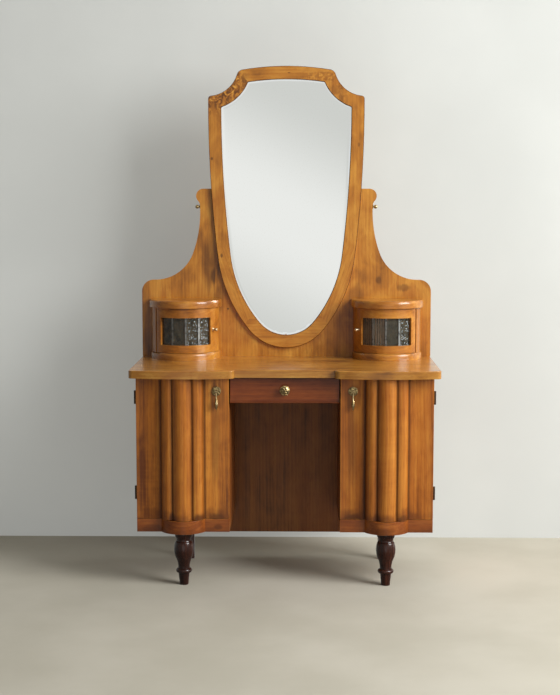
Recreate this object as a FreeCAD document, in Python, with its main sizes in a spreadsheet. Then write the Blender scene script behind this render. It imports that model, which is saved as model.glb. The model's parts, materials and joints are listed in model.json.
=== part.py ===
import FreeCAD
import Part
import Sketcher
import math
import os
from FreeCAD import Vector

# A dressing table with two bow-fronted pedestals, a kneehole drawer, two small glazed cabinets
# and a shield mirror that tilts between two wings.
# X runs to the right, Y to the back and Z up. The origin is on the floor below the middle.

SIZES = {
    # Table top
    "top_length": 1056,
    "top_depth": 480,
    "top_height": 750,
    "top_thickness": 27,
    "top_swell": 21,
    "top_step": 25,
    "top_corner_radius": 18,
    "top_step_radius": 22,
    "top_arris_radius": 3,
    "top_side_overhang": 21,
    "top_inner_overhang": 19,
    "top_back_overhang": 15,
    "fit_clearance": 0.05,
    # Pedestal carcass
    "pedestal_width": 318,
    "side_thickness": 18,
    "bottom_thickness": 18,
    "shelf_thickness": 18,
    "shelf_height": 470,
    "shelf_setback": 24,
    "back_thickness": 12,
    "kneehole_back_bottom": 92,
    "kneehole_back_lap": 25,
    # Plinth and bow
    "plinth_height": 45,
    "plinth_block_depth": 60,
    "bow_half_width": 74.5,
    "bow_rise": 46,
    # Legs
    "leg_height": 188,
    "leg_setback": 17,
    "leg_spigot_radius": 12,
    "leg_spigot_length": 18,
    "leg_spigot_gap": 1,
    "leg_collar_radius": 31,
    "leg_collar_height": 20,
    "leg_collar_round": 2,
    "leg_neck_radius": 25.5,
    "leg_neck_drop": 28,
    "leg_bulb_radius": 33.5,
    "leg_bulb_height": 128,
    "leg_ankle_radius": 20,
    "leg_ankle_length": 8,
    "leg_ring_radius": 27.5,
    "leg_ring_height": 50,
    "leg_ring_width": 16,
    "leg_foot_radius": 15,
    "leg_foot_top_radius": 19,
    "rear_leg_width": 34,
    "rear_leg_inset": 151,
    "rear_leg_chamfer": 3,
    # Pedestal doors
    "door_setback": 58,
    "door_thickness": 18,
    "door_reveal": 1,
    "door_rest_gap": 0.3,
    "reed_valley_half_width": 33.5,
    "reed_valley_depth": 26,
    "middle_reed_rise": 18,
    "side_reed_rise": 13,
    # Butt hinges
    "hinge_height": 46,
    "hinge_leaf_width": 14,
    "hinge_leaf_thickness": 1.5,
    "hinge_barrel_radius": 4,
    "hinge_pin_radius": 1.8,
    "hinge_gap": 0.3,
    "hinge_upper_inset": 70,
    "hinge_lower_inset": 88,
    # Drop pulls
    "pull_inset": 43,
    "pull_drop": 47,
    "pull_rosette_radius": 16,
    "pull_rosette_rim": 2,
    "pull_rosette_dome": 4.5,
    "pull_axis_reach": 12,
    "pull_ear_gap": 0.5,
    "pull_ear_thickness": 2.5,
    "pull_ear_radius": 3.2,
    "pull_pin_radius": 1.5,
    "pull_eye_radius": 4,
    "pull_eye_width": 5,
    "pull_neck_radius": 2.2,
    "pull_belly_radius": 6,
    "pull_belly_drop": 46,
    "pull_length": 66,
    # Drawer
    "drawer_setback": 10,
    "drawer_front_thickness": 20,
    "drawer_front_height": 81,
    "drawer_front_gap": 3,
    "drawer_top_gap": 4,
    "drawer_bead_height": 4,
    "drawer_bead_projection": 3,
    "drawer_back_gap": 35,
    "drawer_box_height": 56,
    "drawer_box_gap": 10,
    "drawer_side_thickness": 12,
    "drawer_bottom_thickness": 5,
    "drawer_groove_depth": 5,
    "drawer_groove_height": 10,
    "runner_width": 26,
    "runner_rise": 2,
    "runner_thickness": 12,
    "runner_gap": 0.3,
    "drawer_knob_radius": 17.5,
    "drawer_knob_stem_radius": 5.4,
    "drawer_knob_foot_radius": 9.6,
    "drawer_knob_foot_thickness": 2,
    "drawer_knob_reach": 22,
    "drawer_knob_rim": 4,
    "drawer_knob_dome": 5,
    "drawer_knob_dome_radius": 14,
    # Wings and back rail
    "wing_thickness": 20,
    "rail_end_inset": 15,
    "wing_neck_width": 43,
    "wing_neck_rise": 530,
    "wing_sweep_radius": 441,
    "wing_sweep_turn": 20,
    "wing_hollow_radius": 149,
    "wing_shoulder_radius": 42,
    "wing_head_radius": 26,
    "wing_head_rise": 56,
    "wing_head_inset": 11.5,
    "wing_blend_radius": 30,
    "dowel_radius": 5,
    "dowel_depth": 14,
    "dowel_wing_inner": 300,
    "dowel_wing_end_inset": 58,
    "dowel_rail": 70,
    # Mirror
    "mirror_gap": 3,
    "mirror_lift": 33,
    "mirror_height": 1017,
    "mirror_half_width": 281.5,
    "mirror_foot_radius": 173,
    "mirror_foot_turn": 50.2,
    "mirror_flank_radius": 517,
    "mirror_flank_turn": 83.05,
    "mirror_notch_radius": 109,
    "mirror_notch_rise": 3,
    "mirror_arch_radius": 979,
    "mirror_notch_corner_radius": 12,
    "mirror_arch_corner_radius": 26,
    "mirror_notch_sight_radius": 7,
    "mirror_arch_sight_radius": 5,
    "mirror_frame_width": 46.5,
    "mirror_frame_thickness": 28,
    "mirror_frame_proud": 12,
    "mirror_lip": 8,
    "mirror_rebate": 8,
    "mirror_edge_clearance": 0.5,
    "mirror_front_radius": 2,
    "glass_thickness": 5,
    "glass_bevel_width": 20,
    "glass_bevel_depth": 2.5,
    "backing_thickness": 6,
    # Mirror pivots
    "pivot_rise": 17,
    "pivot_setback": 8,
    "pivot_bolt_radius": 4,
    "pivot_clearance": 0.06,
    "pivot_bolt_depth": 25,
    "pivot_washer_radius": 8,
    "pivot_washer_thickness": 2,
    "pivot_washer_gap": 0.2,
    "pivot_neck_radius": 3.5,
    "pivot_ball_radius": 7,
    "pivot_ball_reach": 11,
    # Glazed cabinets
    "cabinet_end_inset": 161,
    "cabinet_radius": 122,
    "cabinet_straight": 28,
    "cabinet_wall": 16,
    "cabinet_base_height": 25,
    "cabinet_base_overhang": 4,
    "cabinet_door_height": 161,
    "cabinet_cornice_height": 27,
    "cabinet_cornice_overhang": 9,
    "cabinet_edge_radius": 3,
    "cabinet_under_edge_radius": 2,
    "cabinet_door_gap": 1,
    "cabinet_post_gap": 0.6,
    "cabinet_axis_angle": 52,
    "cabinet_meeting_angle": 84,
    "cabinet_meeting_gap": 0.5,
    "cabinet_pin_radius": 2,
    "cabinet_pin_clearance": 0.06,
    "cabinet_pin_depth": 10,
    "cabinet_bottom_rail": 28,
    "cabinet_top_rail": 33,
    "cabinet_window_turn": 5,
    "cabinet_window_angle": 47,
    "cabinet_rebate_angle": 50.5,
    "cabinet_rebate_depth": 8,
    "cabinet_rebate_height": 4,
    "pane_angle": 24.5,
    "pane_thickness": 3,
    "pane_inset": 1,
    "came_web": 1.6,
    "came_flange": 6,
    "came_flange_thickness": 1.2,
    "came_gap": 0.1,
    "cabinet_knob_angle": 59,
    "cabinet_knob_rise": 82,
    "cabinet_knob_radius": 6.5,
    "cabinet_knob_reach": 18,
    "cabinet_knob_stem_radius": 3,
    "cabinet_knob_foot_radius": 5,
    "cabinet_knob_foot_thickness": 1.5,
    "cabinet_knob_foot_taper": 1,
}

PLANES = {"plan": "XY_Plane", "elevation": "XZ_Plane", "side": "YZ_Plane"}
SIDES = {"left": -1, "right": 1}
# Largest share of a wall that a rounding may take
ROUNDING_SHARE = 0.95

doc = FreeCAD.newDocument("dressing_table")
sheet = doc.addObject("Spreadsheet::Sheet", "Sizes")
pieces = {}


class Measure:
    """A number together with the sheet formula that gives it."""

    def __init__(self, number, formula):
        self.number = float(number)
        self.formula = formula

    def __add__(self, other):
        other = measure(other)
        return Measure(self.number + other.number, f"({self.formula} + {other.formula})")

    def __sub__(self, other):
        other = measure(other)
        return Measure(self.number - other.number, f"({self.formula} - {other.formula})")

    def __mul__(self, other):
        other = measure(other)
        return Measure(self.number * other.number, f"({self.formula} * {other.formula})")

    def __truediv__(self, other):
        other = measure(other)
        return Measure(self.number / other.number, f"({self.formula} / {other.formula})")

    def __radd__(self, other):
        return measure(other) + self

    def __rsub__(self, other):
        return measure(other) - self

    def __rmul__(self, other):
        return measure(other) * self

    def __rtruediv__(self, other):
        return measure(other) / self

    def __neg__(self):
        return Measure(-self.number, f"(0 - {self.formula})")


def measure(value):
    """A plain number as a Measure, or a Measure as it is."""
    if isinstance(value, Measure):
        return value
    return Measure(value, f"({value})")


def size(name):
    """The Measure of one cell of the sheet."""
    return Measure(SIZES[name], f"Sizes.{name}")


def root(value):
    return Measure(math.sqrt(value.number), f"sqrt({value.formula})")


def sine(angle):
    return Measure(math.sin(math.radians(angle.number)), f"sin({angle.formula})")


def cosine(angle):
    return Measure(math.cos(math.radians(angle.number)), f"cos({angle.formula})")


def lesser(one, two):
    return Measure(min(one.number, two.number), f"min({one.formula}; {two.formula})")


class Via(tuple):
    """A point that the arc between two corners passes through."""


def fill_sheet():
    """Write every driving dimension to the sheet under its own alias."""
    for row, (name, number) in enumerate(SIZES.items(), start=1):
        sheet.set(f"A{row}", name)
        sheet.set(f"B{row}", str(number))
        sheet.setAlias(f"B{row}", name)
    doc.recompute()


def bind(obj, name, value):
    """Tie a property of a document object to the sheet."""
    obj.setExpression(name, measure(value).formula)


def keep(label, obj):
    """Name a finished sub-part, which also names its file."""
    obj.Label = label
    pieces[label] = obj
    return obj


def place(obj, x=0, y=0, z=0, turn=None):
    """Tie a sub-part's Placement to the sheet, turned about Z by an angle if one is given."""
    for axis, value in (("x", x), ("y", y), ("z", z)):
        bind(obj, f"Placement.Base.{axis}", value)
    if turn is not None:
        bind(obj, "Placement.Rotation.Angle", turn)


# Part primitives


def block(name, x, y, z):
    """A rectangular block between two limits on each axis."""
    box = doc.addObject("Part::Box", name)
    for prop, (low, high) in (("Length", x), ("Width", y), ("Height", z)):
        bind(box, prop, measure(high) - low)
    place(box, x[0], y[0], z[0])
    return box


def rod(name, radius, x, y, z):
    """An upright cylinder between two heights."""
    cylinder = doc.addObject("Part::Cylinder", name)
    bind(cylinder, "Radius", radius)
    bind(cylinder, "Height", measure(z[1]) - z[0])
    place(cylinder, x, y, z[0])
    return cylinder


def joined(name, *solids):
    """Several overlapping solids made one."""
    fuse = doc.addObject("Part::MultiFuse", name)
    fuse.Shapes = list(solids)
    fuse.Refine = True
    return fuse


def cut(name, base, *tools):
    """A solid with others taken away, one after the other."""
    for tool in tools:
        result = doc.addObject("Part::Cut", name)
        result.Base = base
        result.Tool = tool
        base = result
    return base


def group(name, *solids):
    """Separate solids that share one node."""
    compound = doc.addObject("Part::Compound", name)
    compound.Links = list(solids)
    return compound


# Bodies drawn in sketches


def new_body(name):
    body = doc.addObject("PartDesign::Body", name)
    body.Label = name
    return body


def new_sketch(body, plane, height):
    """An empty sketch on one of the body's own planes, lifted along its normal."""
    sketch = body.newObject("Sketcher::SketchObject", f"{body.Name}_sketch")
    role = PLANES[plane]
    datum = [item for item in body.Origin.OriginFeatures if item.Role == role][0]
    sketch.AttachmentSupport = [(datum, "")]
    sketch.MapMode = "FlatFace"
    bind(sketch, "AttachmentOffset.Base.z", height)
    return sketch


def flat(point):
    return Vector(measure(point[0]).number, measure(point[1]).number, 0)


def hold(sketch, rules):
    """Add constraints in one go and tie each one that has a Measure to the sheet."""
    first = sketch.ConstraintCount
    sketch.addConstraint([rule for rule, value in rules])
    for index, (rule, value) in enumerate(rules, start=first):
        if value is not None:
            bind(sketch, f"Constraints[{index}]", value)


def point_rules(geometry, position, point):
    """The two rules that hold a point of the sketch at its place."""
    rules = []
    for kind, value in zip(("DistanceX", "DistanceY"), point):
        value = measure(value)
        rules.append((Sketcher.Constraint(kind, -1, 1, geometry, position, value.number), value))
    return rules


def turns_left(start, via, end):
    one = flat(via) - flat(start)
    two = flat(end) - flat(via)
    return one.x * two.y - one.y * two.x > 0


def draw(body, plane, outline, height=0):
    """A closed outline of corners, with an arc wherever a Via stands between two corners."""
    sketch = new_sketch(body, plane, height)
    corners = []
    arcs = {}
    for item in outline:
        if isinstance(item, Via):
            arcs[len(corners) - 1] = item
        else:
            corners.append(item)
    ends = []
    rules = []
    for index, start in enumerate(corners):
        end = corners[(index + 1) % len(corners)]
        via = arcs.get(index)
        if via is None:
            line = sketch.addGeometry(Part.LineSegment(flat(start), flat(end)), False)
            ends.append((line, 1, 2))
            continue
        arc = sketch.addGeometry(Part.Arc(flat(start), flat(via), flat(end)), False)
        mark = sketch.addGeometry(Part.Point(flat(via)), True)
        ends.append((arc, 1, 2) if turns_left(start, via, end) else (arc, 2, 1))
        rules += point_rules(mark, 1, via)
        rules.append((Sketcher.Constraint("PointOnObject", mark, 1, arc), None))
    for index, (geometry, first, last) in enumerate(ends):
        following, next_first, next_last = ends[(index + 1) % len(ends)]
        rules.append((Sketcher.Constraint("Coincident", geometry, last, following, next_first), None))
        rules += point_rules(geometry, first, corners[index])
    hold(sketch, rules)
    return sketch


def draw_circles(body, plane, centres, radius, height=0):
    """Circles of one radius about several centres."""
    sketch = new_sketch(body, plane, height)
    rules = []
    for centre in centres:
        circle = sketch.addGeometry(Part.Circle(flat(centre), Vector(0, 0, 1), radius.number), False)
        rules += point_rules(circle, 3, centre)
        rules.append((Sketcher.Constraint("Radius", circle, radius.number), radius))
    hold(sketch, rules)
    return sketch


def rectangle(x, y):
    return [(x[0], y[0]), (x[1], y[0]), (x[1], y[1]), (x[0], y[1])]


def pad(body, sketch, length, both_ways=False):
    """Raise a sketch along its normal, or half each way."""
    feature = body.newObject("PartDesign::Pad", f"{body.Name}_pad")
    feature.Profile = sketch
    feature.Midplane = both_ways
    bind(feature, "Length", length)
    doc.recompute()
    return feature


def pocket(body, sketch, length, along_normal=False):
    """Cut a sketch into the body, and make sure that it took something away."""
    before = body.Shape.Volume
    feature = body.newObject("PartDesign::Pocket", f"{body.Name}_pocket")
    feature.Profile = sketch
    feature.Reversed = along_normal
    bind(feature, "Length", length)
    doc.recompute()
    if not body.Shape.Volume < before:
        raise RuntimeError(f"{body.Label}: a pocket cuts nothing")
    return feature


def revolve(body, sketch, axis):
    """Turn a half profile about one of its sketch's own axes."""
    feature = body.newObject("PartDesign::Revolution", f"{body.Name}_turning")
    feature.Profile = sketch
    feature.ReferenceAxis = (sketch, [axis])
    feature.Angle = 360
    doc.recompute()
    return feature


def edges_where(body, test):
    """Names of the body's edges that pass a test."""
    return [f"Edge{i}" for i, edge in enumerate(body.Shape.Edges, start=1) if test(edge)]


def along(direction, *points):
    """A test for straight edges along X, Y or Z that pass through one of some points."""
    axis = "xyz".index(direction)

    def test(edge):
        if len(edge.Vertexes) != 2:
            return False
        one, two = edge.Vertexes[0].Point, edge.Vertexes[1].Point
        others = [i for i in range(3) if i != axis]
        if any(abs(one[i] - two[i]) > 1e-4 for i in others):
            return False
        places = [[measure(value).number for value in point] for point in points]
        return any(all(abs(one[i] - value) < 0.01 for i, value in zip(others, spot)) for spot in places)

    return test


def within(direction, level):
    """A test for edges that lie wholly in the plane at one level of X, Y or Z."""
    axis = "xyz".index(direction)
    level = measure(level).number

    def test(edge):
        box = edge.BoundBox
        limits = ((box.XMin, box.XMax), (box.YMin, box.YMax), (box.ZMin, box.ZMax))[axis]
        return abs(limits[0] - level) < 1e-3 and abs(limits[1] - level) < 1e-3

    return test


def fillet(body, test, radius):
    """Round the edges that pass a test."""
    names = edges_where(body, test)
    if not names:
        raise RuntimeError(f"{body.Label}: no edge to round")
    base = body.Tip
    feature = body.newObject("PartDesign::Fillet", f"{body.Name}_rounding")
    feature.Base = (base, names)
    bind(feature, "Radius", radius)
    doc.recompute()
    return feature


def chamfer(body, test, distance):
    """Bevel the edges that pass a test."""
    names = edges_where(body, test)
    if not names:
        raise RuntimeError(f"{body.Label}: no edge to bevel")
    base = body.Tip
    feature = body.newObject("PartDesign::Chamfer", f"{body.Name}_bevel")
    feature.Base = (base, names)
    bind(feature, "Size", distance)
    doc.recompute()
    return feature


def loft(body, first, last):
    """Join two outlines of the same kind with straight rulings."""
    feature = body.newObject("PartDesign::AdditiveLoft", f"{body.Name}_loft")
    feature.Profile = first
    feature.Sections = [last]
    feature.Ruled = True
    doc.recompute()
    return feature


def turned(name, profile, x, y, z, angle):
    """A turned piece on an axis that lies level and points along an angle about Z."""
    body = new_body(name)
    revolve(body, draw(body, "plan", profile), "H_Axis")
    place(body, x, y, z, angle)
    return body


def dome(rim, tip):
    """The point halfway along a dome's arc, from its rim to its tip on the axis."""
    height = tip - rim[0]
    chord = root(height * height + rim[1] * rim[1])
    radius = chord * chord / (height * 2)
    return Via((tip - radius * (1 - rim[1] / chord), chord / 2))


# Levels and lines that several pieces share

fill_sheet()

half_length = size("top_length") / 2
back_line = size("top_depth") / 2
top_level = size("top_height")
under_top = top_level - size("top_thickness")
outer_face = half_length - size("top_side_overhang")
inner_face = outer_face - size("pedestal_width")
outer_wall = outer_face - size("side_thickness")
inner_wall = inner_face + size("side_thickness")
bow_middle = (inner_face + outer_face) / 2
door_front = size("door_setback") - back_line
door_back = door_front + size("door_thickness")
carcass_front = door_back + size("door_rest_gap")
carcass_back = back_line - size("top_back_overhang")
panel_front = carcass_back - size("back_thickness")
carcass_bottom = size("leg_height")
plinth_top = carcass_bottom + size("plinth_height")
bottom_under = plinth_top - size("bottom_thickness")
leg_line = door_front + size("leg_setback")
wing_front = back_line - size("wing_thickness")
wing_middle = back_line - size("wing_thickness") / 2
wing_neck_level = top_level + size("wing_neck_rise")
mirror_bottom = top_level + size("mirror_lift")
mirror_top = mirror_bottom + size("mirror_height")
pivot_level = wing_neck_level + size("pivot_rise")
dowel_wing_outer = half_length - size("dowel_wing_end_inset")
door_bottom = plinth_top + size("door_reveal")
door_top = under_top - size("door_reveal")


# Table top


def make_table_top():
    """The top, with a swell over each pedestal, a step at the kneehole and holes for the dowels."""
    body = new_body("table_top")
    front = size("top_swell") - back_line
    middle_front = front + size("top_step")
    step = inner_face - size("top_inner_overhang")
    crest = (half_length + step) / 2
    outline = [
        (-half_length, back_line),
        (-half_length, front),
        Via((-crest, -back_line)),
        (-step, front),
        (-step, middle_front),
        (step, middle_front),
        (step, front),
        Via((crest, -back_line)),
        (half_length, front),
        (half_length, back_line),
    ]
    pad(body, draw(body, "plan", outline, under_top), size("top_thickness"))
    step_radius = lesser(size("top_step_radius"), size("top_step") * ROUNDING_SHARE)
    fillet(body, along("z", (-half_length, front), (half_length, front)), size("top_corner_radius"))
    fillet(body, along("z", (-step, front), (step, front)), step_radius)
    arris = lesser(size("top_arris_radius"), size("top_thickness") / 2 * ROUNDING_SHARE)
    fillet(body, within("z", top_level), arris)
    radius = size("dowel_radius") + size("fit_clearance")
    holes = draw_circles(body, "plan", dowel_places(), radius, top_level)
    pocket(body, holes, size("dowel_depth"))
    keep("table_top", body)


def dowel_places():
    """Centres of the dowels in plan."""
    lines = [size("dowel_rail"), size("dowel_wing_inner"), dowel_wing_outer]
    return [(line * sign, wing_middle) for sign in SIDES.values() for line in lines]


def make_dowels():
    """Dowels that stand half in the top and half in the wings and the back rail."""
    low = top_level - size("dowel_depth")
    high = top_level + size("dowel_depth")
    rods = [rod("dowel", size("dowel_radius"), x, y, (low, high)) for x, y in dowel_places()]
    keep("wing_dowels", group("wing_dowels", *rods))


# Pedestals


def hinge_heights():
    """Lowest and highest level of each butt hinge."""
    half = size("hinge_height") / 2
    middles = (door_bottom + size("hinge_lower_inset"), door_top - size("hinge_upper_inset"))
    return [(middle - half, middle + half) for middle in middles]


def between(sign, one, two):
    """Limits on X for one side of the table, in rising order."""
    return (one * sign, two * sign) if sign > 0 else (two * sign, one * sign)


def mortises(sign, y):
    """Blocks as large as the hinge leaves, for their seats."""
    inner = outer_face - size("hinge_leaf_width")
    x = between(sign, inner, outer_face)
    return [block("mortise", x, y, z) for z in hinge_heights()]


def make_pedestal(side, sign):
    """The fixed boards of one pedestal."""
    depth = (carcass_front, carcass_back)
    height = (carcass_bottom, under_top)
    inside = between(sign, inner_wall, outer_wall)
    seat = (carcass_front, carcass_front + size("hinge_leaf_thickness"))
    outer = block(f"{side}_outer_board", between(sign, outer_wall, outer_face), depth, height)
    keep(f"{side}_outer_side", cut(f"{side}_outer_side", outer, *mortises(sign, seat)))
    inner = block(f"{side}_inner_side", between(sign, inner_face, inner_wall), depth, height)
    keep(f"{side}_inner_side", inner)
    floor = block(f"{side}_bottom_board", inside, (carcass_front, panel_front), (bottom_under, plinth_top))
    keep(f"{side}_bottom_board", floor)
    back = block(f"{side}_back_panel", inside, (panel_front, carcass_back), height)
    keep(f"{side}_back_panel", back)


def make_shelves():
    """One shelf in each pedestal, housed between the sides."""
    y = (carcass_front + size("shelf_setback"), panel_front)
    z = (size("shelf_height"), size("shelf_height") + size("shelf_thickness"))
    boards = [block("shelf", between(sign, inner_wall, outer_wall), y, z) for sign in SIDES.values()]
    keep("pedestal_shelves", group("pedestal_shelves", *boards))


def make_plinth(side, sign):
    """The bowed plinth rail, with a block behind it that takes the spigot of the leg."""
    body = new_body(f"{side}_plinth")
    half = size("bow_half_width")
    rail = [
        (inner_face * sign, carcass_front),
        (inner_face * sign, door_front),
        ((bow_middle - half) * sign, door_front),
        Via((bow_middle * sign, door_front - size("bow_rise"))),
        ((bow_middle + half) * sign, door_front),
        (outer_face * sign, door_front),
        (outer_face * sign, carcass_front),
    ]
    pad(body, draw(body, "plan", rail, carcass_bottom), size("plinth_height"))
    x = between(sign, inner_wall, outer_wall)
    y = (carcass_front, carcass_front + size("plinth_block_depth"))
    pad(body, draw(body, "plan", rectangle(x, y), carcass_bottom), bottom_under - carcass_bottom)
    radius = size("leg_spigot_radius") + size("fit_clearance")
    hole = draw_circles(body, "plan", [(bow_middle * sign, leg_line)], radius, carcass_bottom)
    pocket(body, hole, size("leg_spigot_length"), along_normal=True)
    keep(f"{side}_plinth", body)


def make_front_leg(side, sign):
    """A turned leg: spigot, collar, neck, bulb, ankle, ring and foot."""
    body = new_body(f"{side}_front_leg")
    top = size("leg_height")
    spigot = size("leg_spigot_radius")
    collar = size("leg_collar_radius")
    collar_low = top - size("leg_collar_height")
    neck = size("leg_neck_radius")
    neck_level = top - size("leg_neck_drop")
    bulb = size("leg_bulb_radius")
    bulb_level = size("leg_bulb_height")
    ankle = size("leg_ankle_radius")
    ring_half = size("leg_ring_width") / 2
    ring_level = size("leg_ring_height")
    ankle_level = ring_level + ring_half + size("leg_ankle_length")
    shoulder = (neck + bulb) / 2
    shoulder_share = 0.7
    shoulder_level = bulb_level + (neck_level - bulb_level) * shoulder_share
    waist_share = 0.65
    waist = ankle + (bulb - ankle) * waist_share
    waist_level = (bulb_level + ankle_level) / 2
    calf_share = 0.32
    calf = ankle + (waist - ankle) * calf_share
    collar_edge = collar - size("leg_collar_round")
    spigot_top = top + size("leg_spigot_length") - size("leg_spigot_gap")
    profile = [
        (0, spigot_top),
        (0, 0),
        (size("leg_foot_radius"), 0),
        (size("leg_foot_top_radius"), ring_level - ring_half),
        Via((size("leg_ring_radius"), ring_level)),
        (ankle, ring_level + ring_half),
        (ankle, ankle_level),
        Via((calf, (waist_level + ankle_level) / 2)),
        (waist, waist_level),
        Via((bulb, bulb_level)),
        (shoulder, shoulder_level),
        Via((neck, neck_level)),
        (collar_edge, collar_low),
        Via((collar, (top + collar_low) / 2)),
        (collar_edge, top),
        (spigot, top),
        (spigot, spigot_top),
    ]
    revolve(body, draw(body, "elevation", profile), "V_Axis")
    place(body, bow_middle * sign, leg_line)
    keep(f"{side}_front_leg", body)


def make_rear_legs():
    """Two square posts under the backs of the pedestals."""
    posts = []
    near = inner_face + size("rear_leg_inset")
    for side, sign in SIDES.items():
        body = new_body(f"{side}_rear_post")
        x = between(sign, near, near + size("rear_leg_width"))
        y = (panel_front - size("rear_leg_width"), panel_front)
        pad(body, draw(body, "plan", rectangle(x, y)), bottom_under)
        corners = [(x[i], y[k]) for i in (0, 1) for k in (0, 1)]
        chamfer(body, along("z", *corners), size("rear_leg_chamfer"))
        posts.append(body)
    keep("rear_legs", group("rear_legs", *posts))


def make_kneehole():
    """The panel planted on the backs of the pedestals, and the runners that carry the drawer."""
    half = inner_face + size("kneehole_back_lap")
    y = (carcass_back, carcass_back + size("back_thickness"))
    panel = block("kneehole_back", (-half, half), y, (size("kneehole_back_bottom"), under_top))
    keep("kneehole_back", panel)
    runners = []
    for sign in SIDES.values():
        limits = between(sign, inner_face - size("runner_width"), inner_face)
        runners.append(block("runner", limits, (drawer_box_front, carcass_back), (runner_under, runner_top)))
    keep("drawer_runners", group("drawer_runners", *runners))


# Butt hinges of the pedestal doors

hinge_line = outer_face + size("hinge_barrel_radius") + size("hinge_gap")
hinge_depth = (door_back + carcass_front) / 2


def knuckle(sign, y, z):
    """A barrel section with the tab that joins it to its leaf."""
    tab = block("hinge_tab", between(sign, outer_face, hinge_line), y, z)
    barrel = rod("hinge_barrel", size("hinge_barrel_radius"), hinge_line * sign, hinge_depth, z)
    return [tab, barrel]


def knuckle_levels(low, high):
    """Levels of the three knuckles of a hinge, with a running gap between them."""
    third = (high - low) / 3
    gap = size("hinge_gap") / 2
    return [(low, low + third - gap), (low + third + gap, high - third - gap), (high - third + gap, high)]


def make_hinges(side, sign):
    """Fixed leaves with two knuckles and the pin, and door leaves with one knuckle on that pin."""
    thickness = size("hinge_leaf_thickness")
    x = between(sign, outer_face - size("hinge_leaf_width"), outer_face)
    fixed_depth = (carcass_front, carcass_front + thickness)
    door_depth = (door_back - thickness, door_back)
    fixed = []
    moving = []
    for z in hinge_heights():
        lower, middle, upper = knuckle_levels(*z)
        pin = rod("hinge_pin", size("hinge_pin_radius"), hinge_line * sign, hinge_depth, z)
        solids = knuckle(sign, fixed_depth, lower) + knuckle(sign, fixed_depth, upper)
        fixed.append(joined("fixed_leaf", block("leaf", x, fixed_depth, z), *solids, pin))
        leaf = joined("door_leaf_blank", block("leaf", x, door_depth, z), *knuckle(sign, door_depth, middle))
        bore_radius = size("hinge_pin_radius") + size("fit_clearance")
        bore = rod("hinge_bore", bore_radius, hinge_line * sign, hinge_depth, z)
        moving.append(cut("door_leaf", leaf, bore))
    keep(f"{side}_hinge_fixed_leaves", group(f"{side}_hinge_fixed_leaves", *fixed))
    keep(f"{side}_hinge_door_leaves", group(f"{side}_hinge_door_leaves", *moving))


# Pedestal doors

door_inner_edge = inner_face + size("door_reveal")
valley_line = door_front - size("reed_valley_depth")


def make_door(side, sign):
    """A coopered door of one thickness: two flats and three facets that stand forward."""
    thickness = size("door_thickness")
    half = size("bow_half_width")
    valley = size("reed_valley_half_width")
    run = half - valley
    rise = size("reed_valley_depth")
    inset = thickness * (root(run * run + rise * rise) - run) / rise
    front = [
        (door_inner_edge, door_front),
        (bow_middle - half, door_front),
        (bow_middle - valley, valley_line),
        (bow_middle + valley, valley_line),
        (bow_middle + half, door_front),
        (outer_face, door_front),
    ]
    back = [
        (outer_face, door_back),
        (bow_middle + half - inset, door_back),
        (bow_middle + valley - inset, valley_line + thickness),
        (bow_middle - valley + inset, valley_line + thickness),
        (bow_middle - half + inset, door_back),
        (door_inner_edge, door_back),
    ]
    body = new_body(f"{side}_door_core")
    outline = [(x * sign, y) for x, y in front + back]
    pad(body, draw(body, "plan", outline, door_bottom), door_top - door_bottom)
    seat = (door_back - size("hinge_leaf_thickness"), door_back)
    keep(f"{side}_door", cut(f"{side}_door", body, *mortises(sign, seat)))


def make_reeds(side, sign):
    """Three half-round reeds, glued to the facets of the door."""
    half = size("bow_half_width")
    valley = size("reed_valley_half_width")
    rise = size("reed_valley_depth")
    corners = [
        (bow_middle - half, door_front),
        (bow_middle - valley, valley_line),
        (bow_middle + valley, valley_line),
        (bow_middle + half, door_front),
    ]
    crowns = (size("side_reed_rise"), size("middle_reed_rise"), size("side_reed_rise"))
    leans = (-rise, rise * 0, rise)
    runs = (half - valley, valley * 2, half - valley)
    reeds = []
    for start, end, crown, lean, run in zip(corners, corners[1:], crowns, leans, runs):
        chord = root(run * run + lean * lean)
        crest_x = (start[0] + end[0]) / 2 + lean / chord * crown
        crest_y = (start[1] + end[1]) / 2 - run / chord * crown
        body = new_body(f"{side}_reed")
        outline = [(start[0] * sign, start[1]), Via((crest_x * sign, crest_y)), (end[0] * sign, end[1])]
        pad(body, draw(body, "plan", outline, door_bottom), door_top - door_bottom)
        reeds.append(body)
    keep(f"{side}_door_reeds", group(f"{side}_door_reeds", *reeds))


# Drop pulls

pull_line = inner_face + size("pull_inset")
pull_axis = door_front - size("pull_axis_reach")
pull_level = under_top - size("pull_drop")


def make_rosette(side, sign):
    """A domed rosette with two ears and the pin that carries the drop."""
    radius = size("pull_rosette_radius")
    rim = size("pull_rosette_rim")
    crown = size("pull_rosette_dome")
    reach = size("pull_axis_reach")
    ear = size("pull_ear_radius")
    slot = size("pull_eye_width") / 2 + size("pull_ear_gap")
    outside = slot + size("pull_ear_thickness")
    body = new_body(f"{side}_pull_rosette")
    profile = [
        (0, 0),
        (0, radius),
        (rim, radius),
        dome((rim, radius), crown),
        (crown, 0),
    ]
    revolve(body, draw(body, "plan", profile), "H_Axis")
    for sign_y in (-1, 1):
        y = between(sign_y, slot, outside)
        foot = draw(body, "plan", rectangle((crown / 2, reach + ear), y))
        pad(body, foot, ear * 2, both_ways=True)
    pin = draw_circles(body, "elevation", [(reach, 0)], size("pull_pin_radius"))
    pad(body, pin, outside * 2, both_ways=True)
    place(body, pull_line * sign, door_front, pull_level, -90)
    keep(f"{side}_pull_rosette", body)


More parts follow.
